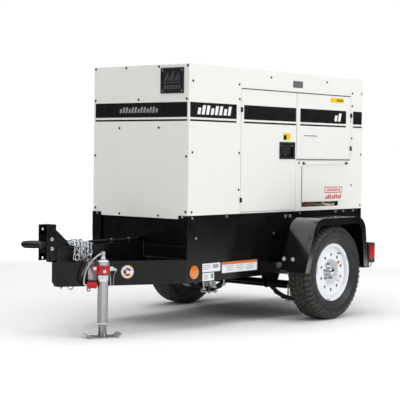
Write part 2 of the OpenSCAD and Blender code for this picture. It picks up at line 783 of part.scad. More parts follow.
module radiator() {
  rad_w = 560;
  rad_h = 560;
  z0 = base_top + bed_h;
  tank = 60;
  color("black") at_front() {
    // core between a bottom and a top tank
    box(166, 200, -rad_w/2, rad_w/2, z0 + tank, z0 + rad_h - tank);
    for (z = [z0, z0 + rad_h - tank]) difference() {
      box(150, 215, -rad_w/2, rad_w/2, z, z + tank);
      box(150 + sheet, 215 - sheet, -rad_w/2 - 1, rad_w/2 - sheet, z + sheet, z + tank - sheet);
    }
    // shroud: sheet back plate with a ring around the fan, on a frame of side sheets
    difference() {
      box(215, 300, -rad_w/2, rad_w/2, z0 + 30, z0 + rad_h);
      box(214, 300 - sheet, -rad_w/2 + sheet, rad_w/2 - sheet, z0 + 30 + sheet, z0 + rad_h - sheet);
      rod_x(fan_mouth, 214, 301, 0, crank_h + 90);
    }
    difference() {
      rod_x(fan_mouth + sheet, 262, 300, 0, crank_h + 90);
      rod_x(fan_mouth, 261, 301, 0, crank_h + 90);
    }
  }
}

module alternator() {
  color("dimgray") at_front() {
    difference() {
      union() {
        rod_x(190, alt_x, alt_x + 60, 0, crank_h);
        rod_x(165, alt_x + 60, alt_x + alt_l - 80, 0, crank_h);
        rod_x(175, alt_x + alt_l - 80, alt_x + alt_l, 0, crank_h);
        box(alt_x + 120, alt_x + alt_l - 120, -110, 110, crank_h + 120, crank_h + 220);
      }
      rod_x(165 - cast_t, alt_x + cast_t, alt_x + alt_l - cast_t, 0, crank_h);
      rod_x(bell_r, alt_x - 1, alt_x + 2*cast_t, 0, crank_h);
      box(alt_x + 132, alt_x + alt_l - 132, -98, 98, crank_h + 100, crank_h + 208);
    }
    for (s = [-1, 1]) box(alt_x + 150, alt_x + alt_l - 140, min(s*90, s*215), max(s*90, s*215),
      base_top + bed_h, crank_h - 128);
  }
}

module muffler() {
  pipe_x = enc_l - 640;
  x0 = engine_x + engine_l + 80;
  z = enc_top - 190;
  color("silver") at_front() difference() {
    union() {
      rod_x(75, x0, pipe_x + 60, 180, z);
      rod_z(30, z, enc_top - 6, pipe_x, 180);
      rod_x(24, engine_x + engine_l - 60, x0 + 10, 180, z);
    }
    rod_x(75 - sheet, x0 + sheet, pipe_x + 60 - sheet, 180, z);
    rod_z(30 - sheet, z, enc_top, pipe_x, 180);
    rod_x(24 - sheet, engine_x + engine_l - 61, x0 + 10, 180, z);
  }
}

module air_cleaner() {
  color("black") at_front() {
    rod_x(85, engine_x + 120, engine_x + 430, -170, enc_top - 140);
    rod_x(60, engine_x + 430, engine_x + 470, -170, enc_top - 140);
  }
}

module battery() {
  x0 = max(enc_l - 400, alt_x + alt_l + battery_gap);
  z1 = base_top + bed_h + 200;
  color("black") at_front() {
    box(x0, x0 + 240, 60, 230, base_top + bed_h, z1);
    for (s = [0, 1]) rod_z(9, z1, z1 + 18, x0 + 40 + s*160, 100);
  }
}

// ---- wheels, built about the Z axis with +Z outboard ----
module at_wheel(side) {
  at_front() translate([axle_x, side*wheel_y, tyre_r]) rotate([side < 0 ? 90 : -90, 0, 0]) children();
}
bead_r = rim_r + 0.5;
bead_y = 66;
flange_h = 19;                         // rim flange above the bead seat
function tyre_side(inset) = let(w = tyre_w/2 - inset) [
  [bead_r, bead_y - inset], [bead_r + flange_h, bead_y - inset], [bead_r + flange_h + 12, bead_y + 16 - inset],
  [bead_r + 0.5*(tyre_r - bead_r), w],
  [tyre_r - 26 - inset, w - 10], [tyre_r - 8 - inset, w - 27], [tyre_r - inset, w - 40]];
function tyre_section(inset) = let(s = tyre_side(inset), n = len(s))
  concat(s, [for (i = [n - 1:-1:0]) [s[i][0], -s[i][1]]]);
module tyre(side) {
  color("black") at_wheel(side) rotate_extrude($fn = 96) difference() {
    polygon(tyre_section(0));
    polygon(tyre_section(11));
  }
}
module left_tyre() { tyre(-1); }
module right_tyre() { tyre(1); }

module rim(side) {
  holes = 10;
  t = 5;
  ring_y = bead_y - 8;
  color("white") at_wheel(side) difference() {
    rotate_extrude($fn = 96) union() {
      // flanges, bead seats and well
      for (s = [-1, 1]) {
        translate([rim_r - t, min(s*bead_y, s*(bead_y + 6))]) square([flange_h - 1 + t, 6]);
        translate([rim_r - t, min(s*34, s*bead_y)]) square([t, 32]);
        translate([rim_r - 24, min(s*30, s*34)]) square([24, 4]);
      }
      translate([rim_r - 24, -30]) square([t, 60]);
      // disc: bead seat to the raised ring, then down to the flat centre
      polygon([[rim_r - t + 1, ring_y - 16], [rim_r - t + 1, ring_y - 10], [rim_r - 28, ring_y],
        [96, ring_y - 3], [78, disc_y], [34, disc_y], [34, disc_y - t], [80, disc_y - t], [98, ring_y - 8],
        [rim_r - 30, ring_y - 6], [rim_r - t - 1, ring_y - 16]]);
    }
    for (i = [0:holes - 1]) rotate([0, 0, (i + 0.5)*360/holes]) translate([(rim_r + 78)/2 - 6, 0, -60])
      cylinder(r = 11, h = 120);
    for (i = [0:4]) rotate([0, 0, i*72 + 90]) translate([bolt_ring, 0, -60]) cylinder(r = 7.5, h = 120);
  }
}
module left_rim() { rim(-1); }
module right_rim() { rim(1); }

module hub(side) {
  flange_r = 74;
  back = disc_y - 5;
  color("dimgray") at_wheel(side) difference() {
    union() {
      translate([0, 0, back - 8]) cylinder(r = flange_r, h = 8);
      translate([0, 0, -90]) cylinder(r = hub_r, h = back + 82);
      translate([0, 0, back]) cylinder(r = 32, h = 60);
      for (i = [0:4]) rotate([0, 0, i*72 + 90]) translate([bolt_ring, 0, back - 8]) cylinder(r = 6.3, h = 42);
    }
    translate([0, 0, -91]) cylinder(r = spindle_r + run_gap, h = 91 + 44 + 2);
  }
}
module left_hub() { hub(-1); }
module right_hub() { hub(1); }

module wheel_nuts(side) {
  color("silver") at_wheel(side) for (i = [0:4]) rotate([0, 0, i*72 + 90]) translate([bolt_ring, 0, disc_y])
    difference() {
      cylinder(r = 11, h = 18, $fn = 6);
      translate([0, 0, -1]) cylinder(r = 6.5, h = 20);
    }
}
module left_wheel_nuts() { wheel_nuts(-1); }
module right_wheel_nuts() { wheel_nuts(1); }

// ---- swivel jack ----
module jack_mount() {
  color("silver") at_jack() {
    box(-62, 78, -jack_off, -jack_off + plate_t, pivot_z - 66, pivot_z + 54);
    rod_y(stub_r, -jack_off + plate_t, -jack_r - 4, 0, pivot_z);
    for (x = [-46, 62], z = [-50, 38]) rod_y(9, -jack_off + plate_t, -jack_off + plate_t + 8, x, pivot_z + z);
  }
}

module jack_tube() {
  inner = ram_r + 1.5;
  color("silver") at_jack() difference() {
    union() {
      rod_z(jack_r, jack_low, jack_top, 0, 0);
      rod_z(jack_r + 3, jack_top - 26, jack_top, 0, 0);
      rod_z(22, jack_top, jack_top + 14, 0, 0);
    }
    rod_z(inner, jack_low - 1, jack_top - 8, 0, 0);
    rod_z(screw_r + 0.5, jack_top - 20, jack_top + 20, 0, 0);
  }
}

// red saddle: a collar on the jack tube and a ring that turns on the mount's stub
module jack_clamp() {
  ring_y0 = -jack_off + plate_t + part_gap;
  color("red") at_jack() difference() {
    union() {
      rod_z(jack_r + 6, pivot_z - 24, pivot_z + 34, 0, 0);
      rod_y(stub_r + 8, ring_y0, -jack_r + 4, 0, pivot_z);
    }
    rod_z(jack_r, pivot_z - 60, pivot_z + 60, 0, 0);
    rod_y(stub_r + run_gap, -jack_off, -jack_r - 4 + part_gap, 0, pivot_z);
    // way for the pull pin
    rod_x(7 + run_gap, -stub_r - 20, -stub_r + 6, -jack_off + plate_t + 15, pivot_z);
  }
}

module pull_pin() {
  y = -jack_off + plate_t + 15;
  color("silver") at_jack() {
    rod_x(7, -stub_r - 60, -stub_r - 2, y, pivot_z);
    rod_x(12, -stub_r - 72, -stub_r - 60, y, pivot_z);
  }
}

module jack_ram() {
  color("silver") at_jack() difference() {
    rod_z(ram_r, 8, ram_top, 0, 0);
    rod_z(ram_r - 5, 7, ram_top - 30, 0, 0);
    rod_z(screw_r + 0.6, ram_top - 40, ram_top + 1, 0, 0);
  }
}
module jack_foot() {
  depth = 120;
  flat = 0.76*foot_w/2;
  up = 22;
  t = 8;
  color("silver") at_jack() translate([0, depth/2, 0]) rotate([90, 0, 0]) linear_extrude(depth)
    polygon([[-foot_w/2, up], [-flat, 0], [flat, 0], [foot_w/2, up],
      [foot_w/2, up + t], [flat, t], [-flat, t], [-foot_w/2, up + t]]);
}

// screw inside the jack, and the yoke on its top that holds the crank
module jack_screw() {
  color("silver") at_jack() {
    rod_z(screw_r, jack_low + 60, jack_top + 16, 0, 0);
    rod_z(14, jack_top + 15, jack_top + 34, 0, 0);
    difference() {
      for (s = [-1, 1]) translate([-10, s > 0 ? 8 : -14, jack_top + 30]) cube([20, 6, 28]);
      rod_y(4.05, -20, 20, 0, crank_z);
    }
    rod_y(4, -18, 18, 0, crank_z);
  }
}

module jack_crank() {
  color("silver") at_jack() difference() {
    union() {
      // curved arm, then the hook that turns back under it
      translate([arm_x - arm_rad, 0, arm_low]) rotate([90, 0, 0])
        rotate_extrude(angle = acos((arm_rad - arm_x)/arm_rad), $fn = 96)
          translate([arm_rad, 0]) circle(r = crank_bar, $fn = 24);
      translate([arm_x - hook_r, 0, arm_low]) rotate([90, 0, 0]) rotate([0, 0, -90])
        rotate_extrude(angle = 90) translate([hook_r, 0]) circle(r = crank_bar, $fn = 24);
      rod_x(crank_bar, grip_x0 - 2, arm_x - hook_r, 0, arm_low - hook_r);
      rod_y(10, -7, 7, 0, crank_z);
    }
    rod_y(4 + run_gap, -20, 20, 0, crank_z);
  }
}
module crank_grip() {
  color("red") at_jack() difference() {
    rod_x(grip_r, grip_x0, grip_x1, 0, arm_low - hook_r);
    rod_x(crank_bar + run_gap, grip_x0 - 1, grip_x1 + 1, 0, arm_low - hook_r);
  }
}

side_rail_left();
side_rail_right();
tongue_leg_left();
tongue_leg_right();
centre_tube();
cross_members();
hitch_channel();
towing_eye();
hitch_bolts();
safety_chains();
jack_mount();
drop_axle();
leaf_springs();
spring_hangers();
axle_u_bolts();
fender_left();
fender_right();
light_housings();
light_lenses();
base_pan();
fuel_tank();
skirt_bolts();
engine_bed();
front_panel();
rear_panel();
roof();
left_side_panel();
right_side_panel();
badge_plate();
panel_hinges();
left_main_door();
left_control_door();
terminal_cover();
right_service_door();
left_latch_handle();
right_latch_handle();
control_panel();
engine_block();
cooling_fan();
radiator();
alternator();
muffler();
air_cleaner();
battery();
left_tyre();
left_rim();
left_hub();
left_wheel_nuts();
right_tyre();
right_rim();
right_hub();
right_wheel_nuts();
jack_tube();
jack_clamp();
jack_ram();
jack_foot();
jack_screw();
jack_crank();
crank_grip();
pull_pin();
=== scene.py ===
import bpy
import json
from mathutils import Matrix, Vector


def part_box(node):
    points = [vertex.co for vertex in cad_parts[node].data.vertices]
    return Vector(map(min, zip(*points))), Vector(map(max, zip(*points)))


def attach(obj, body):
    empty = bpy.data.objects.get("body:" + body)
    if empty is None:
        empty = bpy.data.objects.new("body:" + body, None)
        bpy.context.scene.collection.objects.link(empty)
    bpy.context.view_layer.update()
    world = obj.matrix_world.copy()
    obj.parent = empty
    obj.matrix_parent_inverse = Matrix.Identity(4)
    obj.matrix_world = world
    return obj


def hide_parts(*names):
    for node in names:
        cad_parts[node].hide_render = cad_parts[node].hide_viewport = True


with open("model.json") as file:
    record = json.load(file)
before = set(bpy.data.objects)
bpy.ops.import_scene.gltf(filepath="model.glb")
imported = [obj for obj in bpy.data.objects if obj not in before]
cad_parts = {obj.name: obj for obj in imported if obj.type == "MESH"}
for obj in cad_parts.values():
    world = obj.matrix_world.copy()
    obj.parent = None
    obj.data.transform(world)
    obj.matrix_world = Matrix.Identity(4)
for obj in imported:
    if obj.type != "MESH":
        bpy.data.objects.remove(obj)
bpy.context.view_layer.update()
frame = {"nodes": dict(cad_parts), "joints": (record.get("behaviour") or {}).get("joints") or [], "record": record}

import json
import math
import random

import bmesh
import bpy
from mathutils import Matrix, Vector

mm = 0.001
inMm = Matrix.Diagonal((mm, mm, mm, 1))
scene = bpy.context.scene

# where things are, from the frame
roofLow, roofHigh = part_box("roof")
frontX, rearX, sideY = roofLow.x, roofHigh.x, roofHigh.y
railLow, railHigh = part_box("side_rail_left")
tyreLow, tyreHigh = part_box("left_tyre")
axleX, wheelY = (tyreLow.x + tyreHigh.x) / 2, -(tyreLow.y + tyreHigh.y) / 2
tyreR = (tyreHigh.z - tyreLow.z) / 2
jointAt = {joint["name"]: joint for joint in frame["joints"]}
# the jack's own frame: along the tongue leg to the nose, and straight out from it
jackX, jackY = jointAt["crank_turn"]["pos_m"][:2]
jackAlong, jackOut = -Vector(jointAt["pin_pull"]["axis"]), Vector(jointAt["jack_swivel"]["axis"])


def fromFront(x, y, z):
    # millimetres from the enclosure's front, the middle and the ground
    return Vector((frontX + x * mm, y * mm, z * mm))


def route(*points):
    return [fromFront(*point) for point in points]


# small tools
def colour(hexCode):
    # sRGB to the linear values that shaders take
    parts = [int(hexCode[i:i + 2], 16) / 255 for i in (1, 3, 5)]
    return [c / 12.92 if c <= 0.04045 else ((c + 0.055) / 1.055) ** 2.4 for c in parts] + [1.0]


def addNode(tree, kind, settings=None, inputs=None):
    node = tree.nodes.new(kind)
    for key, value in (settings or {}).items():
        setattr(node, key, value)
    for key, value in (inputs or {}).items():
        if isinstance(value, bpy.types.NodeSocket):
            tree.links.new(value, node.inputs[key])
        else:
            node.inputs[key].default_value = value
    return node


def finishPiece(name, bm, body, material, smooth=35, bevel=0):
    mesh = bpy.data.meshes.new(name)
    bmesh.ops.recalc_face_normals(bm, faces=bm.faces)
    for edge in bm.edges:
        edge.smooth = len(edge.link_faces) == 2 and edge.calc_face_angle(0) < math.radians(smooth)
    bm.to_mesh(mesh)
    bm.free()
    for face in mesh.polygons:
        face.use_smooth = True
    piece = bpy.data.objects.new(name, mesh)
    scene.collection.objects.link(piece)
    mesh.materials.append(material)
    if bevel:
        roundEdges(piece, bevel, weld=False)
    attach(piece, body)
    return piece


def roundEdges(piece, width, weld=True):
    if weld:
        piece.modifiers.new("weld", "WELD").merge_threshold = 0.00002
    bevel = piece.modifiers.new("bevel", "BEVEL")
    bevel.width = width * mm
    bevel.segments = 2
    bevel.limit_method = "ANGLE"
    bevel.angle_limit = math.radians(35)
    bevel.harden_normals = True


def addBox(bm, low, high, place=None):
    low, high = Vector(low), Vector(high)
    made = bmesh.ops.create_cube(bm, size=1.0)["verts"]
    size = high - low
    fit = Matrix.Translation((low + high) / 2) @ Matrix.Diagonal((*[abs(s) for s in size], 1))
    bmesh.ops.transform(bm, matrix=(place or Matrix()) @ fit, verts=made)


def facing(direction, roll=0):
    return Vector(direction).to_track_quat("Z", "Y").to_matrix().to_4x4() @ Matrix.Rotation(roll, 4, "Z")


def facingOut(point, direction):
    # a place in millimetres at the point, with its Z along the direction
    return Matrix.Translation(point) @ facing(direction) @ inMm


def around(count):
    return [2 * math.pi * k / count for k in range(count)]


def addRound(bm, radius, start, end, radius2=None, segments=32):
    start, end = Vector(start), Vector(end)
    place = Matrix.Translation((start + end) / 2) @ facing(end - start)
    bmesh.ops.create_cone(bm, cap_ends=True, segments=segments, radius1=radius,
        radius2=radius if radius2 is None else radius2, depth=(end - start).length, matrix=place)


def addLathe(bm, profile, place, segments=64, closed=False):
    # profile is (radius, height) points; the axis is the place's own Z
    rings = []
    for turn in around(segments):
        rings.append([bm.verts.new(place @ Vector((r * math.cos(turn), r * math.sin(turn), h)))
            for r, h in profile])
    count = len(profile)
    for i in range(segments):
        here, there = rings[i], rings[(i + 1) % segments]
        for k in range(count if closed else count - 1):
            n = (k + 1) % count
            bm.faces.new((here[k], there[k], there[n], here[n]))
    if not closed:
        for k in (0, count - 1):
            if profile[k][0] > 1e-7:
                bm.faces.new([ring[k] for ring in rings])
    bmesh.ops.remove_doubles(bm, verts=[v for ring in rings for v in ring], dist=1e-7)


def addTube(bm, points, radius, segments=12, closed=False):
    # round wire or pipe along the points; an open one has flat ends
    points = [Vector(p) for p in points]
    count = len(points)
    rings = []
    normal = None
    for i, point in enumerate(points):
        before = points[i - 1] if closed or i else point
        after = points[(i + 1) % count] if closed or i < count - 1 else point
        along = (after - before).normalized()
        if normal is None:
            normal = along.orthogonal().normalized()
        normal = (normal - along * normal.dot(along)).normalized()
        cross = along.cross(normal)
        rings.append([bm.verts.new(point + (normal * math.cos(a) + cross * math.sin(a)) * radius)
            for a in around(segments)])
    for i in range(count if closed else count - 1):
        here, there = rings[i], rings[(i + 1) % count]
        for k in range(segments):
            n = (k + 1) % segments
            bm.faces.new((here[k], here[n], there[n], there[k]))
    if not closed:
        bm.faces.new(rings[0])
        bm.faces.new(rings[-1])


def smoothPath(points, steps=6):
    # a Catmull-Rom curve through the points
    points = [Vector(p) for p in points]
    last = len(points) - 1
    path = []
    for i in range(last):
        a, b, c, d = (points[min(max(j, 0), last)] for j in (i - 1, i, i + 1, i + 2))
        for k in range(steps):
            t = k / steps
            path.append(0.5 * (2 * b + (c - a) * t + (2 * a - 5 * b + 4 * c - d) * t * t
                + (3 * b - a - 3 * c + d) * t ** 3))
    path.append(points[-1])
    return path


def addSlab(bm, outline, thickness, place):
    # an outline in the place's XY plane, thickened along its Z
    low = [bm.verts.new(place @ Vector((x, y, 0))) for x, y in outline]
    high = [bm.verts.new(place @ Vector((x, y, thickness))) for x, y in outline]
    bm.faces.new(low[::-1])
    bm.faces.new(high)
    for i in range(len(outline)):
        n = (i + 1) % len(outline)
        bm.faces.new((low[i], low[n], high[n], high[i]))


def roundedOutline(w, h, r, steps=5):
    outline = []
    for cx, cy, start in ((w / 2 - r, h / 2 - r, 0), (-w / 2 + r, h / 2 - r, 90),
            (-w / 2 + r, -h / 2 + r, 180), (w / 2 - r, -h / 2 + r, 270)):
        for k in range(steps + 1):
            a = math.radians(start + 90 * k / steps)
            outline.append((cx + r * math.cos(a), cy + r * math.sin(a)))
    return outline


# camera, floor and light
view = {"fromFrontX": -6284, "y": -5893, "z": 1195, "azimuth": -49.63, "pitch": 2.14, "roll": 0.71,
    "lens": 112.6}


def makeCamera():
    turn, pitch, roll = (math.radians(view[key]) for key in ("azimuth", "pitch", "roll"))
    back = Vector((math.sin(turn) * math.cos(pitch), -math.cos(turn) * math.cos(pitch), math.sin(pitch)))
    right = (-back).cross(Vector((0, 0, 1))).normalized()
    up = back.cross(right)
    tiltRight = right * math.cos(roll) + up * math.sin(roll)
    tiltUp = up * math.cos(roll) - right * math.sin(roll)
    data = bpy.data.cameras.new("camera")
    data.lens = view["lens"]
    data.sensor_width = 36
    data.clip_end = 100
    camera = bpy.data.objects.new("camera", data)
    scene.collection.objects.link(camera)
    turned = Matrix((tiltRight, tiltUp, back)).transposed().to_4x4()
    camera.matrix_world = Matrix.Translation(fromFront(view["fromFrontX"], view["y"], view["z"])) @ turned
    scene.camera = camera


studio = {"zenithHex": "#FFFFFF", "horizonHex": "#5C5D5F", "worldStrength": 0.88, "floorHex": "#F4F4F4",
    "backdropHex": "#FFFFFF", "backdropR": 52, "floorR": 9.0, "glowFrom": 4.4, "glowTo": 7.0,
    "cards": (("sideCard", 4.6, -4.3, 50), ("noseCard", -4.6, 3.0, 50))}
# the door side gets the key light, the nose end stays in soft shade
studioLights = {
    "key": {"place": (2.2, -8.5, 5.2), "target": (0.3, 0, 0.9), "size": (5, 4), "power": 305},
    "top": {"place": (0, 0, 6.5), "target": (0, 0, 0), "size": (7, 7), "power": 215},
    "nose": {"place": (-9, -1.5, 3.5), "target": (0, 0, 0.9), "size": (3, 3), "power": 52}}


def areaLight(name, place, target, size, power):
    data = bpy.data.lights.new(name, "AREA")
    data.shape = "RECTANGLE"
    data.size, data.size_y = size
    data.energy = power
    light = bpy.data.objects.new(name, data)
    scene.collection.objects.link(light)
    light.location = place
    light.rotation_euler = (Vector(target) - Vector(place)).to_track_quat("-Z", "Y").to_euler()


def glowingSweep():
    # pale paper that glows towards its edge, so that it runs out into the backdrop without a horizon
    paper = surface("paperSweep", studio["floorHex"], 0.9, tintHex="#F0F0F0", tintMm=900)
    tree = paper.node_tree
    shader = tree.nodes["Principled BSDF"]
    place = addNode(tree, "ShaderNodeTexCoord").outputs["Object"]
    reach = addNode(tree, "ShaderNodeVectorMath", {"operation": "LENGTH"}, {"Vector": place}).outputs["Value"]
    glow = addNode(tree, "ShaderNodeMapRange", {"interpolation_type": "SMOOTHSTEP"}, {"Value": reach,
        "From Min": studio["glowFrom"], "From Max": studio["glowTo"]})
    shader.inputs["Emission Color"].default_value = colour(studio["backdropHex"])
    tree.links.new(glow.outputs["Result"], shader.inputs["Emission Strength"])
    return paper


def makeStudio():
    scene.view_settings.view_transform = "Standard"
    world = bpy.data.worlds.new("studio")
    scene.world = world
    world.use_nodes = True
    tree = world.node_tree
    # bright overhead, dimmer round the sides, so that dark enamel and plated steel have something to reflect
    place = addNode(tree, "ShaderNodeTexCoord").outputs["Generated"]
    height = addNode(tree, "ShaderNodeSeparateXYZ", inputs={"Vector": place})
    share = addNode(tree, "ShaderNodeMapRange",
        inputs={"Value": height.outputs["Z"], "From Min": 0.05, "From Max": 0.75})
    sky = addNode(tree, "ShaderNodeMix", {"data_type": "RGBA"},
        {0: share.outputs["Result"], 6: colour(studio["horizonHex"]), 7: colour(studio["zenithHex"])})
    background = tree.nodes["Background"]
    tree.links.new(sky.outputs[2], background.inputs["Color"])
    background.inputs["Strength"].default_value = studio["worldStrength"]
    for name, lamp in studioLights.items():
        areaLight(name, **lamp)
    bm = bmesh.new()
    addRound(bm, studio["floorR"], Vector((0, 0, -0.02)), Vector((0, 0, 0)), segments=96)
    floor = stageMesh("floor", bm, glowingSweep())
    # a plain paper dome far behind, seen by the camera only
    bm = bmesh.new()
    bmesh.ops.create_uvsphere(bm, u_segments=48, v_segments=24, radius=studio["backdropR"])
    paper = bpy.data.materials.new("litBackdrop")
    paper.use_nodes = True
    shader = paper.node_tree.nodes["Principled BSDF"]
    shader.inputs["Base Color"].default_value = (0, 0, 0, 1)
    shader.inputs["Roughness"].default_value = 1.0
    shader.inputs["Emission Color"].default_value = colour(studio["backdropHex"])
    shader.inputs["Emission Strength"].default_value = 1.0
    dome = stageMesh("backdrop", bm, paper)
    dome.visible_diffuse = dome.visible_glossy = dome.visible_transmission = dome.visible_shadow = False
    # dark cards that only the gloss sees: they keep the enamel black beside a pale floor
    felt = surface("blackFelt", "#050505", 0.95)
    for name, x, y, turn in studio["cards"]:
        bm = bmesh.new()
        place = Matrix.Translation((x, y, 0)) @ Matrix.Rotation(math.radians(turn), 4, "Z")
        addBox(bm, (-3.2, -0.02, 0.01), (3.2, 0.02, 1.5), place)
        card = stageMesh(name, bm, felt)
        card.visible_camera = card.visible_diffuse = card.visible_transmission = card.visible_shadow = False


def stageMesh(name, bm, material):
    mesh = bpy.data.meshes.new(name)
    bm.to_mesh(mesh)
    bm.free()
    mesh.materials.append(material)
    made = bpy.data.objects.new(name, mesh)
    scene.collection.objects.link(made)
    return made


# materials: each is named for the real one and how its surface was made
def surface(name, baseHex, roughness, metallic=0.0, tintHex=None, tintMm=150, tintShare=0.35, spread=0.06,
        bumpMm=3.0, bumpDepth=0.02, stretch=(1, 1, 1), sockets=None):
    # colour drifts from base to tint over tintMm and the roughness with it; the grain is bumpDepth mm high
    material = bpy.data.materials.new(name)
    material.use_nodes = True
    tree = material.node_tree
    shader = tree.nodes["Principled BSDF"]
    shader.inputs["Metallic"].default_value = metallic
    place = addNode(tree, "ShaderNodeTexCoord").outputs["Object"]
    place = addNode(tree, "ShaderNodeMapping", inputs={"Vector": place, "Scale": stretch}).outputs["Vector"]
    drift = addNode(tree, "ShaderNodeTexNoise",
        inputs={"Vector": place, "Scale": 1000 / tintMm, "Detail": 5.0, "Roughness": 0.62}).outputs["Fac"]
    share = addNode(tree, "ShaderNodeMapRange", inputs={"Value": drift, "From Min": 0.35,
        "From Max": 0.7, "To Min": 0.0, "To Max": tintShare}).outputs["Result"]
    tint = addNode(tree, "ShaderNodeMix", {"data_type": "RGBA"},
        {0: share, 6: colour(baseHex), 7: colour(tintHex or baseHex)})
    tree.links.new(tint.outputs[2], shader.inputs["Base Color"])
    rough = addNode(tree, "ShaderNodeMapRange", inputs={"Value": drift, "From Min": 0.3, "From Max": 0.7,
        "To Min": roughness - spread, "To Max": roughness + spread})
    tree.links.new(rough.outputs["Result"], shader.inputs["Roughness"])
    grain = addNode(tree, "ShaderNodeTexNoise",
        inputs={"Vector": place, "Scale": 1000 / bumpMm, "Detail": 2.0})
    bump = addNode(tree, "ShaderNodeBump",
        inputs={"Height": grain.outputs["Fac"], "Distance": bumpDepth * mm, "Strength": 1.0})
    tree.links.new(bump.outputs["Normal"], shader.inputs["Normal"])
    for key, value in (sockets or {}).items():
        shader.inputs[key].default_value = value
    return material


def glossEnamelBlack():
    # sprayed over blasted steel: deep black with soft orange peel and bright clean reflections
    return surface("glossEnamelBlack", "#0B0B0C", 0.2, tintHex="#131314", bumpMm=6, bumpDepth=0.02,
        sockets={"Specular IOR Level": 0.28})


def polishedEnamelBlack():
    # a second clear coat over the enamel of the fenders, which mirrors the white panel beside them
    return surface("polishedEnamelBlack", "#0D0D0E", 0.15, tintHex="#151516", bumpMm=9, bumpDepth=0.02,
        sockets={"Specular IOR Level": 0.9, "Coat Weight": 0.85, "Coat Roughness": 0.08})


def powderCoatWhite():
    # baked polyester on zinc sheet: warm white, satin, with a fine even peel
    return surface("powderCoatWhite", "#EDEDE9", 0.36, tintHex="#E6E6E1", tintMm=420,
        bumpMm=2.6, bumpDepth=0.018)


def zincPlate():
    # bright zinc with clear passivate: pale grey metal with a faint cloudy drift
    return surface("zincPlate", "#C9CBCD", 0.3, 1.0, tintHex="#A9ACB0", tintMm=18, tintShare=0.6, spread=0.09,
        bumpMm=1.2, bumpDepth=0.012)


def zincTubePaintedReflections():
    # plated drawn tube: long bright and dark streaks down its length, painted reflections of the surroundings
    return surface("zincTubePaintedReflections", "#C4C6C8", 0.18, 1.0, tintHex="#4A4D50", tintMm=26, tintShare=0.95,
        spread=0.05, bumpMm=1.5, bumpDepth=0.01, stretch=(1, 1, 0.015))


def turnedSteel():
    # machined and oiled: mid grey with fine tool lines round it
    return surface("turnedSteel", "#7F8285", 0.34, 1.0, tintHex="#5F6265", tintMm=12,
        bumpMm=0.8, bumpDepth=0.01)


def chromedCap():
    # pressed steel, chromed: almost a mirror
    return surface("chromedCap", "#D6D8DA", 0.1, 1.0, tintHex="#C4C7CA", tintMm=30, spread=0.03,
        bumpMm=5, bumpDepth=0.01)


def brightPlatedZinc():
    # small plated hardware: whiter and brighter than sheet, with blue-grey hollows
    return surface("brightPlatedZinc", "#DFE2E6", 0.22, 1.0, tintHex="#B4BAC2", tintMm=9, tintShare=0.6,
        bumpMm=1, bumpDepth=0.01)


def blackOxideSteel():
    # blued fastener heads: near black with a soft metal sheen
    return surface("blackOxideSteel", "#1C1D20", 0.38, 0.6, tintHex="#2B2C30", tintMm=6,
        bumpMm=0.8, bumpDepth=0.01)


def rolledSpringSteel():
    # black oxide scale with a little brown showing
    return surface("rolledSpringSteel", "#17181A", 0.5, 0.3, tintHex="#2A211B", tintMm=25,
        bumpMm=2, bumpDepth=0.06)


def mouldedRubber():
    # tyre compound: dark grey-black, dull, with a dusty bloom on the high parts
    return surface("mouldedRubber", "#0F1013", 0.5, tintHex="#17181B", tintMm=60, tintShare=0.6, bumpMm=1.6,
        bumpDepth=0.05, sockets={"Sheen Weight": 0.05, "Sheen Roughness": 0.4})


def scuffedTreadRubber():
    # the blocks' worn faces: paler, gritty, with road dust in the grain
    return surface("scuffedTreadRubber", "#1A1A1A", 0.6, tintHex="#6E695C", tintMm=14, tintShare=0.65,
        bumpMm=3, bumpDepth=0.3)


def enamelledWheel():
    # cold bright white enamel on a pressed disc
    return surface("enamelledWheel", "#ECEFF2", 0.24, tintHex="#E2E6EA", tintMm=90, bumpMm=4, bumpDepth=0.02,
        sockets={"Coat Weight": 0.3})


def powderCoatRed():
    # baked red powder on forged steel: strong colour, satin, a slight peel
    return surface("powderCoatRed", "#C4151C", 0.32, tintHex="#A81016", tintMm=20, bumpMm=2, bumpDepth=0.03)


def dippedPvcRed():
    # soft dipped grip: saturated red, slight pebble
    return surface("dippedPvcRed", "#D4202A", 0.42, tintHex="#B8131C", tintMm=15, bumpMm=1.5, bumpDepth=0.05)


def mouldedAbsBlack():
    # spark-textured moulding: even dark grey with a fine pebble
    return surface("mouldedAbsBlack", "#101113", 0.45, tintHex="#18191B", tintMm=40,
        bumpMm=0.9, bumpDepth=0.03)


def vinylFilm(name, baseHex, tintHex):
    # printed cast film, pressed flat: clean edge and an even low sheen
    return surface(name, baseHex, 0.3, tintHex=tintHex, tintMm=70, tintShare=0.25, bumpMm=8, bumpDepth=0.015,
        sockets={"Specular IOR Level": 0.35})


def lensAcrylicPaintedGlow(name, baseHex, tintHex):
    # injection moulded lens: glossy skin over small prisms, with a faint painted glow in its own colour, though no
    # lamp inside is lit
    sockets = {"Coat Weight": 1.0, "Coat Roughness": 0.03, "Emission Color": colour(baseHex),
        "Emission Strength": 0.12}
    return surface(name, baseHex, 0.12, tintHex=tintHex, tintMm=12, tintShare=0.6, bumpMm=3.2,
        bumpDepth=0.25, sockets=sockets)


def castEnginePaint():
    # thick paint over sand casting: dull blue-grey with a coarse soft grain
    return surface("castEnginePaint", "#3C4348", 0.5, tintHex="#2B3034", tintMm=60,
        bumpMm=2.2, bumpDepth=0.16)


def castAluminium():
    # die cast and left raw: light grey metal, matt, faintly mottled
    return surface("castAluminium", "#9B9DA0", 0.48, 1.0, tintHex="#7F8286", tintMm=30,
        bumpMm=1.8, bumpDepth=0.1)


def aluminisedSteel():
    # rolled exhaust sheet after heating: straw and brown clouds over dull silver
    return surface("aluminisedSteel", "#A39C92", 0.4, 1.0, tintHex="#6F5B48", tintMm=70, tintShare=0.7,
        bumpMm=2, bumpDepth=0.03)


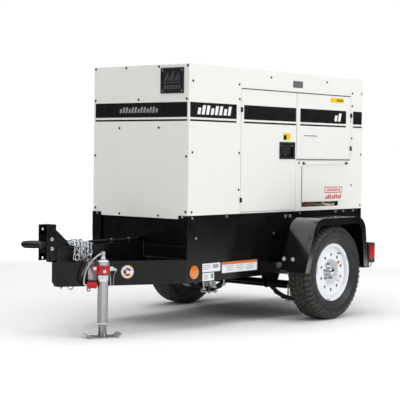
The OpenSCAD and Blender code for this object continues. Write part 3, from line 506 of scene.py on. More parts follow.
def mouldedNylonBlack():
    # glass-filled moulding: black, dry, with a faint swirl
    return surface("mouldedNylonBlack", "#121315", 0.5, tintHex="#1C1D1F", tintMm=30,
        bumpMm=1.1, bumpDepth=0.04)


def rotomouldedTank():
    # rotomoulded polyethylene: black, waxy, with a soft orange peel
    return surface("rotomouldedTank", "#1B1C1D", 0.55, tintHex="#262728", tintMm=80, bumpMm=5, bumpDepth=0.12)


def texturedPanelGrey():
    # wrinkle powder on an instrument plate: mid grey, glare free
    return surface("texturedPanelGrey", "#45494D", 0.46, tintHex="#3A3E42", tintMm=60,
        bumpMm=1.2, bumpDepth=0.06)


def acousticFoam():
    # open-cell foam with a convoluted face: charcoal, fully matt
    return surface("acousticFoam", "#2A2B2D", 0.95, tintHex="#1B1C1E", tintMm=9, tintShare=0.8,
        bumpMm=7, bumpDepth=1.6)


def rubberHose():
    # wrapped and cured hose: black, matt, with the wrap's fine weave
    return surface("rubberHose", "#141516", 0.6, tintHex="#1F2021", tintMm=20, bumpMm=1.4, bumpDepth=0.04)


def cableJacket(name, baseHex, tintHex):
    # extruded cable jacket: even dull colour with a fine drag along it
    return surface(name, baseHex, 0.48, tintHex=tintHex, tintMm=15, bumpMm=1, bumpDepth=0.03)


def finnedCore():
    # stacked aluminium fins: fine bright and dark lines; 2.5 mm apart, drawn at 6 mm so that they show
    finMm = 6
    material = surface("finnedCore", "#5A5D60", 0.5, 0.8, tintHex="#46494C", tintMm=40)
    tree = material.node_tree
    shader = tree.nodes["Principled BSDF"]
    place = addNode(tree, "ShaderNodeTexCoord").outputs["Object"]
    fins = addNode(tree, "ShaderNodeTexWave", {"bands_direction": "Z"},
        {"Vector": place, "Scale": 1000 / finMm / math.pi})
    bump = addNode(tree, "ShaderNodeBump",
        inputs={"Height": fins.outputs["Fac"], "Distance": 0.8 * mm, "Strength": 1.0})
    tree.links.new(bump.outputs["Normal"], shader.inputs["Normal"])
    return material


makeCamera()
makeStudio()
print("camera and studio ready")

black, white, zinc = glossEnamelBlack(), powderCoatWhite(), zincPlate()
rubber, treadRubber = mouldedRubber(), scuffedTreadRubber()
wheelWhite, steel, absBlack = enamelledWheel(), turnedSteel(), mouldedAbsBlack()
lensRedPaintedGlow = lensAcrylicPaintedGlow("lensRedPaintedGlow", "#B8060C", "#8E0408")
lensAmberPaintedGlow = lensAcrylicPaintedGlow("lensAmberPaintedGlow", "#E07A10", "#B85C08")
castPaint, nylon, springSteel = castEnginePaint(), mouldedNylonBlack(), rolledSpringSteel()
filmBlack = vinylFilm("vinylBlack", "#121214", "#1A1A1C")
filmWhite = vinylFilm("vinylWhite", "#F2F2F0", "#E8E8E6")
filmYellow = vinylFilm("vinylYellow", "#F2C81A", "#E0B410")
filmRed = vinylFilm("vinylRed", "#C8202A", "#B0161F")
filmOrange = vinylFilm("vinylOrange", "#E2761B", "#CC6410")
filmGrey = vinylFilm("vinylGrey", "#9A9DA0", "#84888C")
filmBlue = vinylFilm("vinylBlue", "#24407E", "#1B3268")
filmViolet = vinylFilm("vinylViolet", "#6A4AA0", "#573B86")
filmGreen = vinylFilm("vinylGreen", "#5E9A3A", "#4C8230")
filmPink = vinylFilm("vinylPink", "#D98A8A", "#C87474")
filmPale = vinylFilm("vinylPale", "#E9ECEF", "#DDE1E5")
chromedSteel, brightZinc, blackOxide = chromedCap(), brightPlatedZinc(), blackOxideSteel()
acousticFoamPad, powderRed, gripPvc = acousticFoam(), powderCoatRed(), dippedPvcRed()
hoseRubber, castAluminiumPart, heatScale = rubberHose(), castAluminium(), aluminisedSteel()
# satin paint on a pressed plate: soft metallic grey
badgeGrey = surface("satinBadgeGrey", "#5B5E62", 0.34, 0.4, tintHex="#494C50", tintMm=30)
# baked paint on a spun can: pale grey, semi-gloss
filterPaint = surface("bakedFilterPaint", "#D8D9D6", 0.35, tintHex="#C4C5C2", tintMm=60)
# enamel over a weld: glossy black ripples
weldBead = surface("paintedWeldBead", "#0D0D0E", 0.28, tintHex="#17171A", tintMm=8,
    bumpMm=2.4, bumpDepth=0.35)
# hot-tinned copper: warm dull silver
tinnedLug = surface("tinnedLug", "#B9B4A6", 0.3, 1.0, tintHex="#9C9688", tintMm=12)
cableBrown = cableJacket("cableBrown", "#5A3B22", "#4A301B")
cableRed = cableJacket("cableRed", "#A81C1C", "#8C1515")
cableGreen = cableJacket("cableGreen", "#4E6B2C", "#3F5823")
cableBlack = cableJacket("cableBlack", "#141416", "#1E1E21")
cableWhite = cableJacket("cableWhite", "#C9C6BC", "#B5B2A8")

nodeFinish = {
    "zinc": zinc, "galvanised_chain": zinc, "frame_black": black, "enclosure_white": white,
    "jack_red": powderRed, "grip_red": gripPvc, "spring_steel": springSteel, "tyre": rubber,
    "rim_white": wheelWhite, "hub_steel": steel, "lens_red": lensRedPaintedGlow, "lamp_black": absBlack,
    "tank_plastic": rotomouldedTank(), "latch_black": absBlack, "panel_grey": texturedPanelGrey(),
    "engine_cast": castPaint, "fan_plastic": nylon, "radiator_alu": finnedCore(),
    "exhaust_steel": heatScale,
}
# the jack's tube and ram carry the painted reflection streaks
reflectionStreakTube, fenderBlack = zincTubePaintedReflections(), polishedEnamelBlack()
ownFinish = {"jack_tube": reflectionStreakTube, "jack_ram": reflectionStreakTube, "hitch_bolts": brightZinc,
    "fender_left": fenderBlack, "fender_right": fenderBlack}
# edge rounding in millimetres
edgeWidth = {"frame_black": 2.5, "enclosure_white": 1.0, "zinc": 0.8, "jack_red": 1.5, "rim_white": 1.2}


def finishNodes():
    for entry in frame["record"]["subparts"]:
        node = frame["nodes"][entry["node"]]
        slot = entry["material_slot"]
        for place in node.material_slots:
            place.link = "OBJECT"
            place.material = ownFinish.get(entry["node"], nodeFinish[slot])
        roundEdges(node, edgeWidth.get(slot, 1.0))


finishNodes()
print("frame nodes finished")


# tyres
# turns are in radians: half a sipe, how far a row's edges lean, and how pitches differ
tyre = {"pitches": 54, "grooveMm": 12, "chamferMm": 2.4, "sidewallMarks": 44, "halfSipe": 0.003,
    "lean": 0.022, "uneven": 0.004}


def wheelPlace(side):
    place = Matrix(((1, 0, 0, axleX), (0, 0, side, side * wheelY), (0, 1, 0, tyreR), (0, 0, 0, 1)))
    return place @ inMm


def addLug(bm, place, sections, chamfer):
    # a tread block lofted over sections: outer radius and width, inner radius and width, from and to
    rows = []
    for outR, outY, inR, inY, low, high in sections:
        cut = chamfer / outR
        ring = [(inR, low, inY), (outR - chamfer, low, outY), (outR, low + cut, outY),
            (outR, high - cut, outY), (outR - chamfer, high, outY), (inR, high, inY)]
        rows.append([bm.verts.new(place @ Vector((r * math.cos(a), r * math.sin(a), y))) for r, a, y in ring])
    for here, there in zip(rows, rows[1:]):
        for k in range(5):
            bm.faces.new((here[k], there[k], there[k + 1], here[k + 1]))
    bm.faces.new(rows[0])
    bm.faces.new(rows[-1])


def buildTyre(side, name):
    place = wheelPlace(side)
    bm = bmesh.new()
    # bead, rim guard, sidewall with its raised rings, shoulder and crown
    half = [(191, 62), (196, 67), (209, 70), (213, 74), (216, 74), (222, 80), (240, 91), (251, 96),
        (253, 98.5), (257, 98.5), (262, 99), (284, 101), (286, 102.2), (290, 102.2), (292, 100.8),
        (303, 99.5), (316, 93), (325, 87), (331, 77), (334, 64), (335, 40), (335.4, 0)]
    addLathe(bm, half + [(r, -y) for r, y in half[-2::-1]], place, 124, closed=True)
    step = 2 * math.pi / tyre["pitches"]
    gap = tyre["grooveMm"] / tyreR * mm
    chamfer, lean, uneven, sipe = (tyre[key] for key in ("chamferMm", "lean", "uneven", "halfSipe"))
    rng = random.Random(11)
    tread = bmesh.new()
    for i in range(tyre["pitches"]):
        # every third pitch starts a little early, since a real tread's pitches differ
        start = i * step + (uneven if i % 3 else -uneven)
        end = start + step - gap
        middle = (start + end) / 2
        # centre row, cut by a sipe
        for low, high in ((start, middle - sipe), (middle + sipe, end)):
            rib = ((-14, 0), (-4, lean * 0.6), (4, -lean * 0.6), (14, 0))
            addLug(tread, place, [(342.6, y, 333, y, low + bend, high + bend) for y, bend in rib], chamfer)
        for hand in (-1, 1):
            shift = step * (0.45 if hand > 0 else 0.2)
            for low, high in ((start, middle - sipe), (middle + sipe, end)):
                rib = ((342.4, 23, 0), (342.2, 32, lean), (341.8, 41, lean * 0.3), (341.4, 49, lean * 1.3))
                addLug(tread, place, [(r, hand * y, 332, hand * y, low + shift + bend, high + shift + bend)
                    for r, y, bend in rib], chamfer)
            # shoulder lugs run over the edge, long and short in turn
            reach = 6 if i % 2 else 5
            edge = [(341, 58, 330, 58), (340, 70, 328, 70), (336.5, 80, 323, 78), (330, 88.5, 318, 84),
                (319, 96.5, 308, 90), (307, 101.6, 298, 95)][:reach]
            low, high = start + shift * 0.5, end + shift * 0.5
            addLug(tread, place, [(r, hand * y, lowR, hand * lowY, low + uneven * k, high - uneven * k)
                for k, (r, y, lowR, lowY) in enumerate(edge)], chamfer)
    # plain raised bars and blocks round the sidewall, in place of lettering
    for i in range(tyre["sidewallMarks"]):
        if i % 11 in (0, 5):
            continue
        low = 2 * math.pi * i / tyre["sidewallMarks"]
        for hand in (-1, 1):
            addLug(bm, place, [(r, hand * y, r, hand * (y - 3), low, low + 0.07 + 0.03 * rng.random())
                for r, y in ((266, 100.6), (280, 102.2))], 0.4)
    piece = finishPiece(name + "TyreMoulded", bm, name + "_wheel", rubber, smooth=28)
    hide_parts(name + "_tyre")
    finishPiece(name + "TyreTread", tread, name + "_wheel", treadRubber, smooth=28)


for side, name in ((-1, "left"), (1, "right")):
    buildTyre(side, name)
print("tyres built")


# wheels: cap, valve, balance weights and stickers
wheelTrim = {"capR": 33, "capOut": 71, "valveAngle": 60, "stickerTurn": 36, "labelTurn": -36, "discOut": 56.8}


def buildWheelTrim(side, name):
    body = name + "_wheel"
    place = wheelPlace(side)
    bm = bmesh.new()
    r, out = wheelTrim["capR"], wheelTrim["capOut"]
    addLathe(bm, [(r + 3.5, 12.3), (r + 3.5, 16), (r + 0.5, 18), (r + 0.5, out - 12), (r - 1, out - 7),
        (r - 6, out - 2), (r - 14, out + 0.2), (0, out + 1)], place, 48)
    finishPiece(name + "GreaseCap", bm, body, chromedSteel)
    bm = bmesh.new()
    turn = math.radians(wheelTrim["valveAngle"])
    at = lambda radius, height, a=turn: place @ Vector((radius * math.cos(a), radius * math.sin(a), height))
    addRound(bm, 5.5 * mm, at(156, 54), at(154, 70), 4 * mm, 16)
    addRound(bm, 3.6 * mm, at(154, 69), at(152.5, 80), 3.4 * mm, 16)
    addRound(bm, 4.6 * mm, at(152.5, 79), at(151.6, 87), 4.2 * mm, 6)
    finishPiece(name + "ValveStem", bm, body, nylon)
    bm = bmesh.new()
    for k, a in enumerate((0.4, 2.9, 4.4)):
        for n in range(3 + k % 2):
            b = a + n * 0.075
            addBox(bm, (-6 * mm, -4 * mm, -1.5 * mm), (6 * mm, 4 * mm, 2.5 * mm),
                Matrix.Translation(at(201, 72.6, b)) @ facing((0, side, 0), side * -b + math.pi / 2))
    finishPiece(name + "BalanceWeights", bm, body, zinc, bevel=0.8)
    # small flat patches on the disc's face
    patches = (("TorquePatch", wheelTrim["stickerTurn"], 112, (27, 24), filmOrange),
        ("DatePatch", wheelTrim["labelTurn"], 113, (27, 16), filmPink))
    for patch, turnBy, radius, size, vinyl in patches:
        a = math.radians(turnBy if side < 0 else 180 - turnBy)
        bm = bmesh.new()
        centre = Matrix.Translation((radius * math.cos(a), radius * math.sin(a), wheelTrim["discOut"]))
        addSlab(bm, roundedOutline(*size, 3), 0.4, place @ centre @ Matrix.Rotation(a, 4, "Z"))
        finishPiece(name + patch, bm, body, vinyl)


for side, name in ((-1, "left"), (1, "right")):
    buildWheelTrim(side, name)
print("wheels trimmed")


# chains
chain = {"linkMm": 46, "widthMm": 31, "wireMm": 3.7, "pitchMm": 33, "wraps": 5,
    "hookWireMm": 5.5, "bunch": (0.22, 0.98)}


def addLink(bm, centre, along, roll):
    # a stadium of round wire; along is the way the chain runs
    reach = (chain["linkMm"] - chain["widthMm"]) / 2
    radius = chain["widthMm"] / 2 - chain["wireMm"]
    place = Matrix.Translation(centre) @ facing(along, roll)
    points = []
    for start, z in ((0, reach), (180, -reach)):
        for k in range(6):
            a = math.radians(start + 36 * k)
            points.append(place @ (Vector((math.cos(a) * radius, 0, z + math.sin(a) * radius)) * mm))
    addTube(bm, points, chain["wireMm"] * mm, 7, closed=True)


def strand(bm, path, rng):
    path = smoothPath(path, 10)
    gone, due, count = 0.0, 0.0, 0
    for a, b in zip(path, path[1:]):
        length = (b - a).length
        while due <= gone + length:
            centre = a + (b - a) * ((due - gone) / max(length, 1e-9))
            wobble = Vector([rng.uniform(-1, 1) for _ in range(3)]) * 0.16
            roll = math.radians(90 * (count % 2) + 35 + rng.uniform(-22, 22))
            addLink(bm, centre, (b - a).normalized() + wobble, roll)
            due += chain["pitchMm"] * mm
            count += 1
        gone += length


def buildChains():
    rng = random.Random(5)
    low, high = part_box("safety_chains")
    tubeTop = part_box("centre_tube")[1].z
    middleY = (low.y + high.y) / 2
    for hand, name in ((-1, "left"), (1, "right")):
        bm = bmesh.new()
        count = chain["wraps"]
        for layer, wraps in ((0, count), (1, count - 2)):
            for i in range(wraps):
                # each chain hangs over its own side of the tube, the second layer amid the first
                along = (i + 0.25 + 0.5 * (hand > 0)) / wraps * (1 - 0.3 * layer) + 0.15 * layer
                share = chain["bunch"][0] + (chain["bunch"][1] - chain["bunch"][0]) * along
                x = low.x + (high.x - low.x) * share
                out = (62 + 9 * layer) * mm
                up = (11 + 11 * layer) * mm
                foot = low.z + (12 + 26 * rng.random()) * mm
                sway = lambda amount: rng.uniform(-amount, amount) * mm
                # how far each point may sway along the tube, how far out it is, and its height
                stations = ((12, -out, foot), (8, -out - 3 * mm, foot + 45 * mm),
                    (8, -out + 6 * mm, tubeTop + up * 0.4), (6, -24 * mm, tubeTop + up),
                    (6, 24 * mm, tubeTop + up), (8, out - 6 * mm, tubeTop + up * 0.4),
                    (8, out + 3 * mm, foot + 45 * mm), (12, out, foot))
                path = [Vector((x + sway(amount), middleY + y, z)) for amount, y, z in stations]
                half = path[:5] if hand < 0 else path[3:]
                strand(bm, half, rng)
        piece = finishPiece(name + "SafetyChain", bm, "trailer", brightZinc, smooth=60)
        if hand < 0:
            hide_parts("safety_chains")
        # slip hook and ring hung beside the last run
        bm = bmesh.new()
        wire = chain["hookWireMm"]
        x = high.x - 22 * mm
        y = middleY + hand * 75 * mm
        shape = [(0, 0, 52), (2, 0, 30), (10, 0, 8), (4, 0, -12), (-14, 0, -16), (-26, 0, -2), (-24, 0, 16)]
        addTube(bm, smoothPath([Vector((x, y, low.z + 52 * mm)) + Vector(p) * mm for p in shape], 6),
            wire * mm, 12)
        addTube(bm, [Vector((x, y, low.z + 108 * mm)) + Vector((0, math.cos(a) * 9, math.sin(a) * 9)) * mm
            for a in around(16)], 3.6 * mm, 8, closed=True)
        finishPiece(name + "SlipHook", bm, "trailer", brightZinc, smooth=60)


buildChains()
print("chains built")


# printed films: stripes, plain marks and labels
film = {"standOff": 0.35, "stripe": (1435, 1536), "thinStripe": (1409, 1421), "markLean": 0.24}


def sidePlace(side, x, z):
    # an upright plane on one side: X runs to the rear on the left, to the nose on the right, Z stands out
    turned = Matrix(((-side, 0, 0, 0), (0, 0, side, 0), (0, 1, 0, 0), (0, 0, 0, 1)))
    return Matrix.Translation(fromFront(x, side * sideY / mm, z)) @ turned @ inMm


def nosePlace(y, z, x=0):
    # the nose end's plane: X runs to the trailer's left side, Z stands out ahead
    turned = Matrix(((0, 0, -1, 0), (-1, 0, 0, 0), (0, 1, 0, 0), (0, 0, 0, 1)))
    return Matrix.Translation(fromFront(x, y, z)) @ turned @ inMm


def label(name, body, place, width, height, material, lift=0.0, radius=2):
    bm = bmesh.new()
    outline = roundedOutline(width, height, min(radius, height / 2.01, width / 2.01), 3)
    addSlab(bm, outline, film["standOff"], place @ Matrix.Translation((0, 0, lift)))
    finishPiece(name, bm, body, material)


def stripePair(name, body, place, low, high):
    middle, width = (low + high) / 2, high - low
    for tag, (z0, z1) in (("Stripe", film["stripe"]), ("ThinStripe", film["thinStripe"])):
        label(name + tag, body, place(middle, (z0 + z1) / 2), width, z1 - z0, filmBlack, radius=0.5)


def bars(name, body, place, count, width, gap, height, material=None):
    # leaning bars in place of lettering
    bm = bmesh.new()
    for i in range(count):
        x = (i - (count - 1) / 2) * (width + gap)
        tall = height * (1 if i % 3 else 0.72)
        outline = [(px + x + py * film["markLean"], py - (height - tall) / 2)
            for px, py in roundedOutline(width, tall, 2, 2)]
        addSlab(bm, outline, film["standOff"], place @ Matrix.Translation((0, 0, film["standOff"])))
    finishPiece(name, bm, body, material or filmWhite)


def buildFilms():
    left = lambda x, z: sidePlace(-1, x, z)
    right = lambda x, z: sidePlace(1, x, z)
    stripePair("leftFront", "trailer", left, 13, 507)
    stripePair("leftMainDoor", "main_door", left, 590, 1207)
    stripePair("leftControlDoor", "control_door", left, 1259, 1866)
    stripePair("leftRear", "trailer", left, 1962, 2087)
    stripePair("nose", "trailer", nosePlace, -430, 430)
    stripePair("rightFront", "trailer", right, 13, 507)
    stripePair("rightServiceDoor", "service_door", right, 590, 1207)
    stripePair("rightRear", "trailer", right, 1262, 2087)
    bars("leftMark", "trailer", left(268, 1487), 8, 30, 16, 62)
    bars("leftSizeMark", "control_door", left(1752, 1484), 2, 34, 16, 62)
    bars("rightMark", "trailer", right(268, 1487), 8, 30, 16, 62)
    bars("rightSizeMark", "trailer", right(1752, 1484), 2, 34, 16, 62)
    bars("noseMark", "trailer", nosePlace(13, 1487), 13, 17, 11, 40, filmGrey)
    # labels on the doors and the cover
    label("hotSticker", "control_door", left(1740, 1613), 178, 36, filmYellow)
    bars("hotStickerMark", "control_door", left(1775, 1613), 6, 9, 6, 16, filmBlack)
    label("liftSticker", "main_door", left(1095, 1324), 84, 50, filmYellow)
    label("liftStickerHead", "main_door", left(1074, 1318), 36, 34, filmBlack, lift=film["standOff"])
    label("greyPlate", "trailer", left(1225, 1710), 124, 50, castAluminiumPart, lift=0.2)
    label("doorHint", "control_door", left(1395, 1335), 172, 5, filmBlack, radius=1)
    place = left(1701, 901)
    head = place @ Matrix.Translation((0, 27, 4.0))
    label("terminalLabelHead", "cover", head, 236, 46, filmRed)
    label("terminalLabelField", "cover", head, 222, 33, filmWhite, lift=film["standOff"])
    bars("terminalLabelText", "cover", place @ Matrix.Translation((0, 27, 4.3)), 8, 15, 9, 20, filmRed)
    bars("terminalLabelFoot", "cover", place @ Matrix.Translation((0, -26, 3.7)), 8, 17, 10, 34, filmRed)
    # plates on the rail and the tongue leg
    label("ratingPlate", "trailer", left(254, 418), 190, 58, filmPale)
    label("ratingPlateSmall", "trailer", left(222, 356), 122, 54, filmPale)
    label("ratingPlateGreen", "trailer", left(262, 360), 22, 34, filmGreen, lift=film["standOff"])
    label("cautionLabel", "trailer", left(564, 408), 394, 74, filmPale)
    label("cautionLabelHead", "trailer", left(564, 436), 390, 17, filmOrange, lift=film["standOff"])
    ratingLines = ((200, 434, 70, 5), (206, 422, 84, 4), (198, 410, 66, 4), (300, 425, 60, 24),
        (196, 366, 40, 5), (199, 354, 46, 5), (195, 342, 38, 4))
    for i, (x, z, w, h) in enumerate(ratingLines):
        label("ratingLine%d" % i, "trailer", left(x, z), w, h, filmGrey, lift=film["standOff"], radius=1)
    for i in range(9):
        place = left(452 + 112 * (i % 3), 416 - 14 * (i // 3))
        label("cautionLine%d" % i, "trailer", place, 92 - 9 * ((i * 5) % 4), 4, filmGrey,
            lift=film["standOff"], radius=1)


buildFilms()
print("films laid")


# round reflectors and the round sticker on the tongue leg
marker = {"reflectorR": 45, "stickerR": 43, "stickerAlong": 415, "stickerZ": 413}


def legPlace(along, z):
    # outer face of the left tongue leg: X runs from the nose to the rear
    corner = Vector((frontX, -sideY, 0))
    origin = corner + jackAlong * along * mm + Vector((0, 0, z * mm))
    turned = Matrix((-jackAlong, Vector((0, 0, 1)), jackOut)).transposed().to_4x4()
    return Matrix.Translation(origin) @ turned @ inMm


def disc(name, body, place, radius, height, material, lift=0.0, dome=0.0):
    bm = bmesh.new()
    top = lift + height
    addLathe(bm, [(radius, lift), (radius, top), (radius * 0.6, top + dome * 0.7), (0, top + dome)],
        place, 40)
    finishPiece(name, bm, body, material)


def buildMarkers():
    for side, name in ((-1, "left"), (1, "right")):
        place = sidePlace(side, 69, 396)
        disc(name + "ReflectorBack", "trailer", place, marker["reflectorR"] + 4, 3, nylon)
        disc(name + "Reflector", "trailer", place, marker["reflectorR"], 3, lensAmberPaintedGlow, lift=3, dome=3)
        bm = bmesh.new()
        addLathe(bm, [(7, 6), (7, 9.5), (0, 10.5)], place, 16)
        for i in range(12):
            spoke = place @ Matrix.Rotation(i * math.pi / 6, 4, "Z")
            rib = spoke @ Matrix.Translation((0, 0, 6))
            addSlab(bm, [(14, -1), (38, -1.6), (38, 1.6), (14, 1)], 2.2, rib)
        finishPiece(name + "ReflectorRibs", bm, "trailer", lensAmberPaintedGlow)
    place = legPlace(marker["stickerAlong"], marker["stickerZ"])
    radius = marker["stickerR"]
    disc("legSticker", "trailer", place, radius, 0.5, filmPale)
    # arcs of film: from and to in degrees, inner and outer share of the sticker's radius
    arcs = ((filmYellow, 10, 170, 0.78, 0.93), (filmYellow, 190, 350, 0.78, 0.93),
        (filmBlue, 140, 215, 0.18, 0.66), (filmRed, 225, 320, 0.3, 0.66), (filmViolet, 20, 125, 0.24, 0.62))
    for i, (material, low, high, inner, outer) in enumerate(arcs):
        bm = bmesh.new()
        sweep = [math.radians(low + (high - low) * k / 10) for k in range(11)]
        edge = [(outer, a) for a in sweep] + [(inner, a) for a in reversed(sweep)]
        outline = [(share * radius * math.cos(a), share * radius * math.sin(a)) for share, a in edge]
        addSlab(bm, outline, 0.35, place @ Matrix.Translation((0, 0, 0.5)))
        finishPiece("legStickerPart%d" % i, bm, "trailer", material)


# panel screws and frame bolts
screw = {"panelR": 6.2, "panelH": 3.4, "frameR": 10.5, "frameH": 7}


def addPanelScrew(bm, place):
    # low round head with a hexagon recess
    r, h = screw["panelR"], screw["panelH"]
    addLathe(bm, [(r + 2.6, 0), (r + 2.6, 0.9), (r, 0.9), (r, h * 0.45), (r * 0.82, h * 0.85),
        (r * 0.5, h), (r * 0.42, h), (r * 0.4, h * 0.4), (0, h * 0.4)], place, 14)


def addHexBolt(bm, place, r, h):
    # washer, hexagon head with its corners off
    addLathe(bm, [(r * 1.45, 0), (r * 1.45, 1.6), (0, 1.6)], place, 24)
    hexagon = [(r * math.cos(a + 0.3), r * math.sin(a + 0.3)) for a in around(6)]
    addSlab(bm, hexagon, h, place @ Matrix.Translation((0, 0, 1.4)))
    addLathe(bm, [(r * 0.72, h + 1.3), (r * 0.7, h + 2.1), (0, h + 2.1)], place, 18)


def buildScrews():
    both = [(40, 1677), (535, 1677), (540, 1575), (540, 943), (1948, 1676), (2080, 1678), (1948, 1577),
        (1948, 1326), (1948, 1229), (40, 1200), (40, 800), (2080, 1200), (2080, 800), (540, 1200),
        (1948, 960), (900, 1745), (1600, 1745)]
    for side, name in ((-1, "left"), (1, "right")):
        bm = bmesh.new()
        if side < 0:
            places = both + [(1252, 1132), (1890, 1132)]
        else:
            # the right side keeps the front column and the top row, with an even grid behind them
            places = [spot for spot in both if spot[0] < 600 or spot[1] == 1745]
            places += [(x, z) for x in (1262, 1535, 1808, 2080) for z in (1678, 1226, 800)]
        for x, z in places:
            addPanelScrew(bm, sidePlace(side, x, z))
        finishPiece(name + "PanelScrews", bm, "trailer", blackOxide)
    bm = bmesh.new()
    noseScrews = ((430, 1777), (133, 1777), (-172, 1777), (-432, 1777), (430, 1557), (15, 1557),
        (-425, 1557), (194, 1363), (-176, 1365), (430, 1171), (-425, 1173), (425, 802), (-425, 802),
        (187, 768), (-178, 769))
    for y, z in noseScrews:
        addPanelScrew(bm, nosePlace(y, z))
    finishPiece("nosePanelScrews", bm, "trailer", blackOxide)
    bm = bmesh.new()
    for y in (-430, -215, 0, 215, 430):
        for z in (1777, 1300, 800):
            addPanelScrew(bm, facingOut((rearX, y * mm, z * mm), (1, 0, 0)))
    finishPiece("rearPanelScrews", bm, "trailer", blackOxide)
    # hexagon heads on the base's corners, the fender feet, the skirts and the rear
    bm = bmesh.new()
    for s in (-1, 1):
        place = facingOut(fromFront(-5, s * 400, 767), (-1, 0, 0))
        addHexBolt(bm, place, 7, 5)
        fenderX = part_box("fender_left" if s < 0 else "fender_right")[0].x
        for y in (612, 690):
            foot = facingOut((fenderX + 1.5 * mm, s * y * mm, 455 * mm), (-1, 0, 0))
            addHexBolt(bm, foot, screw["frameR"], screw["frameH"])
    for side in (-1, 1):
        for x, z in ((1096, 741), (1150, 741)):
            addHexBolt(bm, sidePlace(side, x, z), screw["frameR"], screw["frameH"])
    for y in (-300, 300):
        for z in (640, 700):
            addHexBolt(bm, facingOut(fromFront(2100, y, z), (1, 0, 0)), 9, 6)
    finishPiece("frameBolts", bm, "trailer", brightZinc, bevel=0.5)


# doors: black hinge covers, seals and painted shadow strips in the gaps, latch pans and foam
door = {"hingeZ": (854, 1485), "controlHingeZ": (1230, 1485), "insideY": 441, "foamMm": 12,
    "latch": (1101, 1222), "pan": (150, 96, 24), "panWall": 2.2, "panRim": (20, 14)}


def buildDoorTrim():
    foamLow, foamHigh = door["insideY"] - door["foamMm"], door["insideY"] - 0.4
    smaller = Matrix.Diagonal((0.62, 0.62, 0.8, 1))
    hinges = ((-1, "main_door", 558, door["hingeZ"]), (1, "service_door", 558, door["hingeZ"]),
        (-1, "control_door", 1930, door["controlHingeZ"]))
    for side, body, x, zs in hinges:
        bm = bmesh.new()
        for z in zs:
            # cap sleeve on the moving knuckle, and its screw heads
            base = fromFront(x, side * 450, z + 0.6)
            addRound(bm, 7.2 * mm, base, base + Vector((0, 0, 33 * mm)), segments=24)
            addRound(bm, 7.6 * mm, base + Vector((0, 0, 8 * mm)), base + Vector((0, 0, 10 * mm)), segments=24)
            toward = 14 if x < 1000 else -14
            for lift in (9, 25):
                place = facingOut(fromFront(x + toward, side * 447, z + lift), (0, side, 0))
                addPanelScrew(bm, place @ smaller)
        finishPiece(body + "HingeCaps", bm, body, blackOxide)
    # rubber seals lie in the gaps, behind the skins; they are black so that the gaps show dark, partly seals and
    # partly a painted shade in the gaps
    leftSealsGapShade = ((558, 1930, 1648.6, 1651), (1216, 1930, 1157.5, 1160.5), (558, 1216, 782.6, 785))
    rightSealsGapShade = ((558, 1216, 1648.6, 1651), (558, 1216, 782.6, 785))
    for side, name, spans in ((-1, "left", leftSealsGapShade), (1, "right", rightSealsGapShade)):
        bm = bmesh.new()
        for x0, x1, z0, z1 in spans:
            addBox(bm, fromFront(x0, side * door["insideY"], z0), fromFront(x1, side * 443.4, z1))
        finishPiece(name + "DoorSealsGapShade", bm, "trailer", rubber)
    # dark rubber strips beside the cover, along the doors' top edges and under the control door: painted shadow
    # lines for the shade in these gaps
    bm = bmesh.new()
    addBox(bm, fromFront(1286, -446.5, 843), fromFront(1289.2, -444.1, 1108))
    for x0, x1, z0, z1 in ((566, 1922, 1648.5, 1653), (1222, 1922, 1153, 1157.5)):
        addBox(bm, fromFront(x0, -446.6, z0), fromFront(x1, -444.2, z1))
    finishPiece("gapShadowStrips", bm, "trailer", rubber)
    # foam panels glued inside the doors and the fixed sides
    lined = (("mainDoorFoam", "main_door", -1, 574, 1200, 800, 1140, foamLow, foamHigh),
        ("mainDoorFoamHigh", "main_door", -1, 574, 1200, 1300, 1634, foamLow, foamHigh),
        ("serviceDoorFoam", "service_door", 1, 574, 1200, 800, 1140, foamLow, foamHigh),
        ("serviceDoorFoamHigh", "service_door", 1, 574, 1200, 1300, 1634, foamLow, foamHigh),
        ("controlDoorFoam", "control_door", -1, 1232, 1912, 1400, 1634, foamLow, foamHigh),
        ("leftFrontFoam", "trailer", -1, 20, 530, 800, 1760, 410, foamHigh),
        ("rightFrontFoam", "trailer", 1, 20, 530, 800, 1760, 410, foamHigh),
        ("rightRearFoam", "trailer", 1, 1260, 2080, 800, 1760, 410, foamHigh))
    for name, body, side, x0, x1, z0, z1, y0, y1 in lined:
        bm = bmesh.new()
        addBox(bm, fromFront(x0, side * y0, z0), fromFront(x1, side * y1, z1))
        finishPiece(name, bm, body, acousticFoamPad, bevel=4)
    # black liners of the latch pans
    cx, cz = door["latch"]
    w, h, deep = door["pan"]
    wall, (rimX, rimZ) = door["panWall"], door["panRim"]
    left, right, foot, head = cx - w / 2, cx + w / 2, cz - h / 2, cz + h / 2
    for side, body in ((-1, "main_door"), (1, "service_door")):
        bm = bmesh.new()
        low, high = 444 - deep + 3.1, 446.6
        for x0, x1, z0, z1 in ((left, right, foot, foot + wall), (left, right, head - wall, head),
                (left, left + wall, foot, head), (right - wall, right, foot, head)):
            addBox(bm, fromFront(x0, side * low, z0), fromFront(x1, side * high, z1))
        addBox(bm, fromFront(left, side * (low - 0.05), foot), fromFront(right, side * (low + 1), head))
        for x0, x1, z0, z1 in ((left - rimX, right + rimX, foot - rimZ, foot),
                (left - rimX, right + rimX, head, head + rimZ),
                (left - rimX, left, foot, head), (right, right + rimX, foot, head)):
            addBox(bm, fromFront(x0, side * 446, z0), fromFront(x1, side * 448.2, z1))
        finishPiece(body + "LatchPan", bm, body, absBlack, bevel=0.8)
        bm = bmesh.new()
        place = sidePlace(side, cx, cz - 26)
        addLathe(bm, [(9, -22), (9, -10), (7.6, -8), (4, -8), (4, -10), (0, -10)], place, 24)
        finishPiece(body + "KeyLock", bm, body, zinc)


# badge on the nose
badge = {"across": 206, "tall": 171, "raise": 3, "rim": 7, "rivetIn": 16}


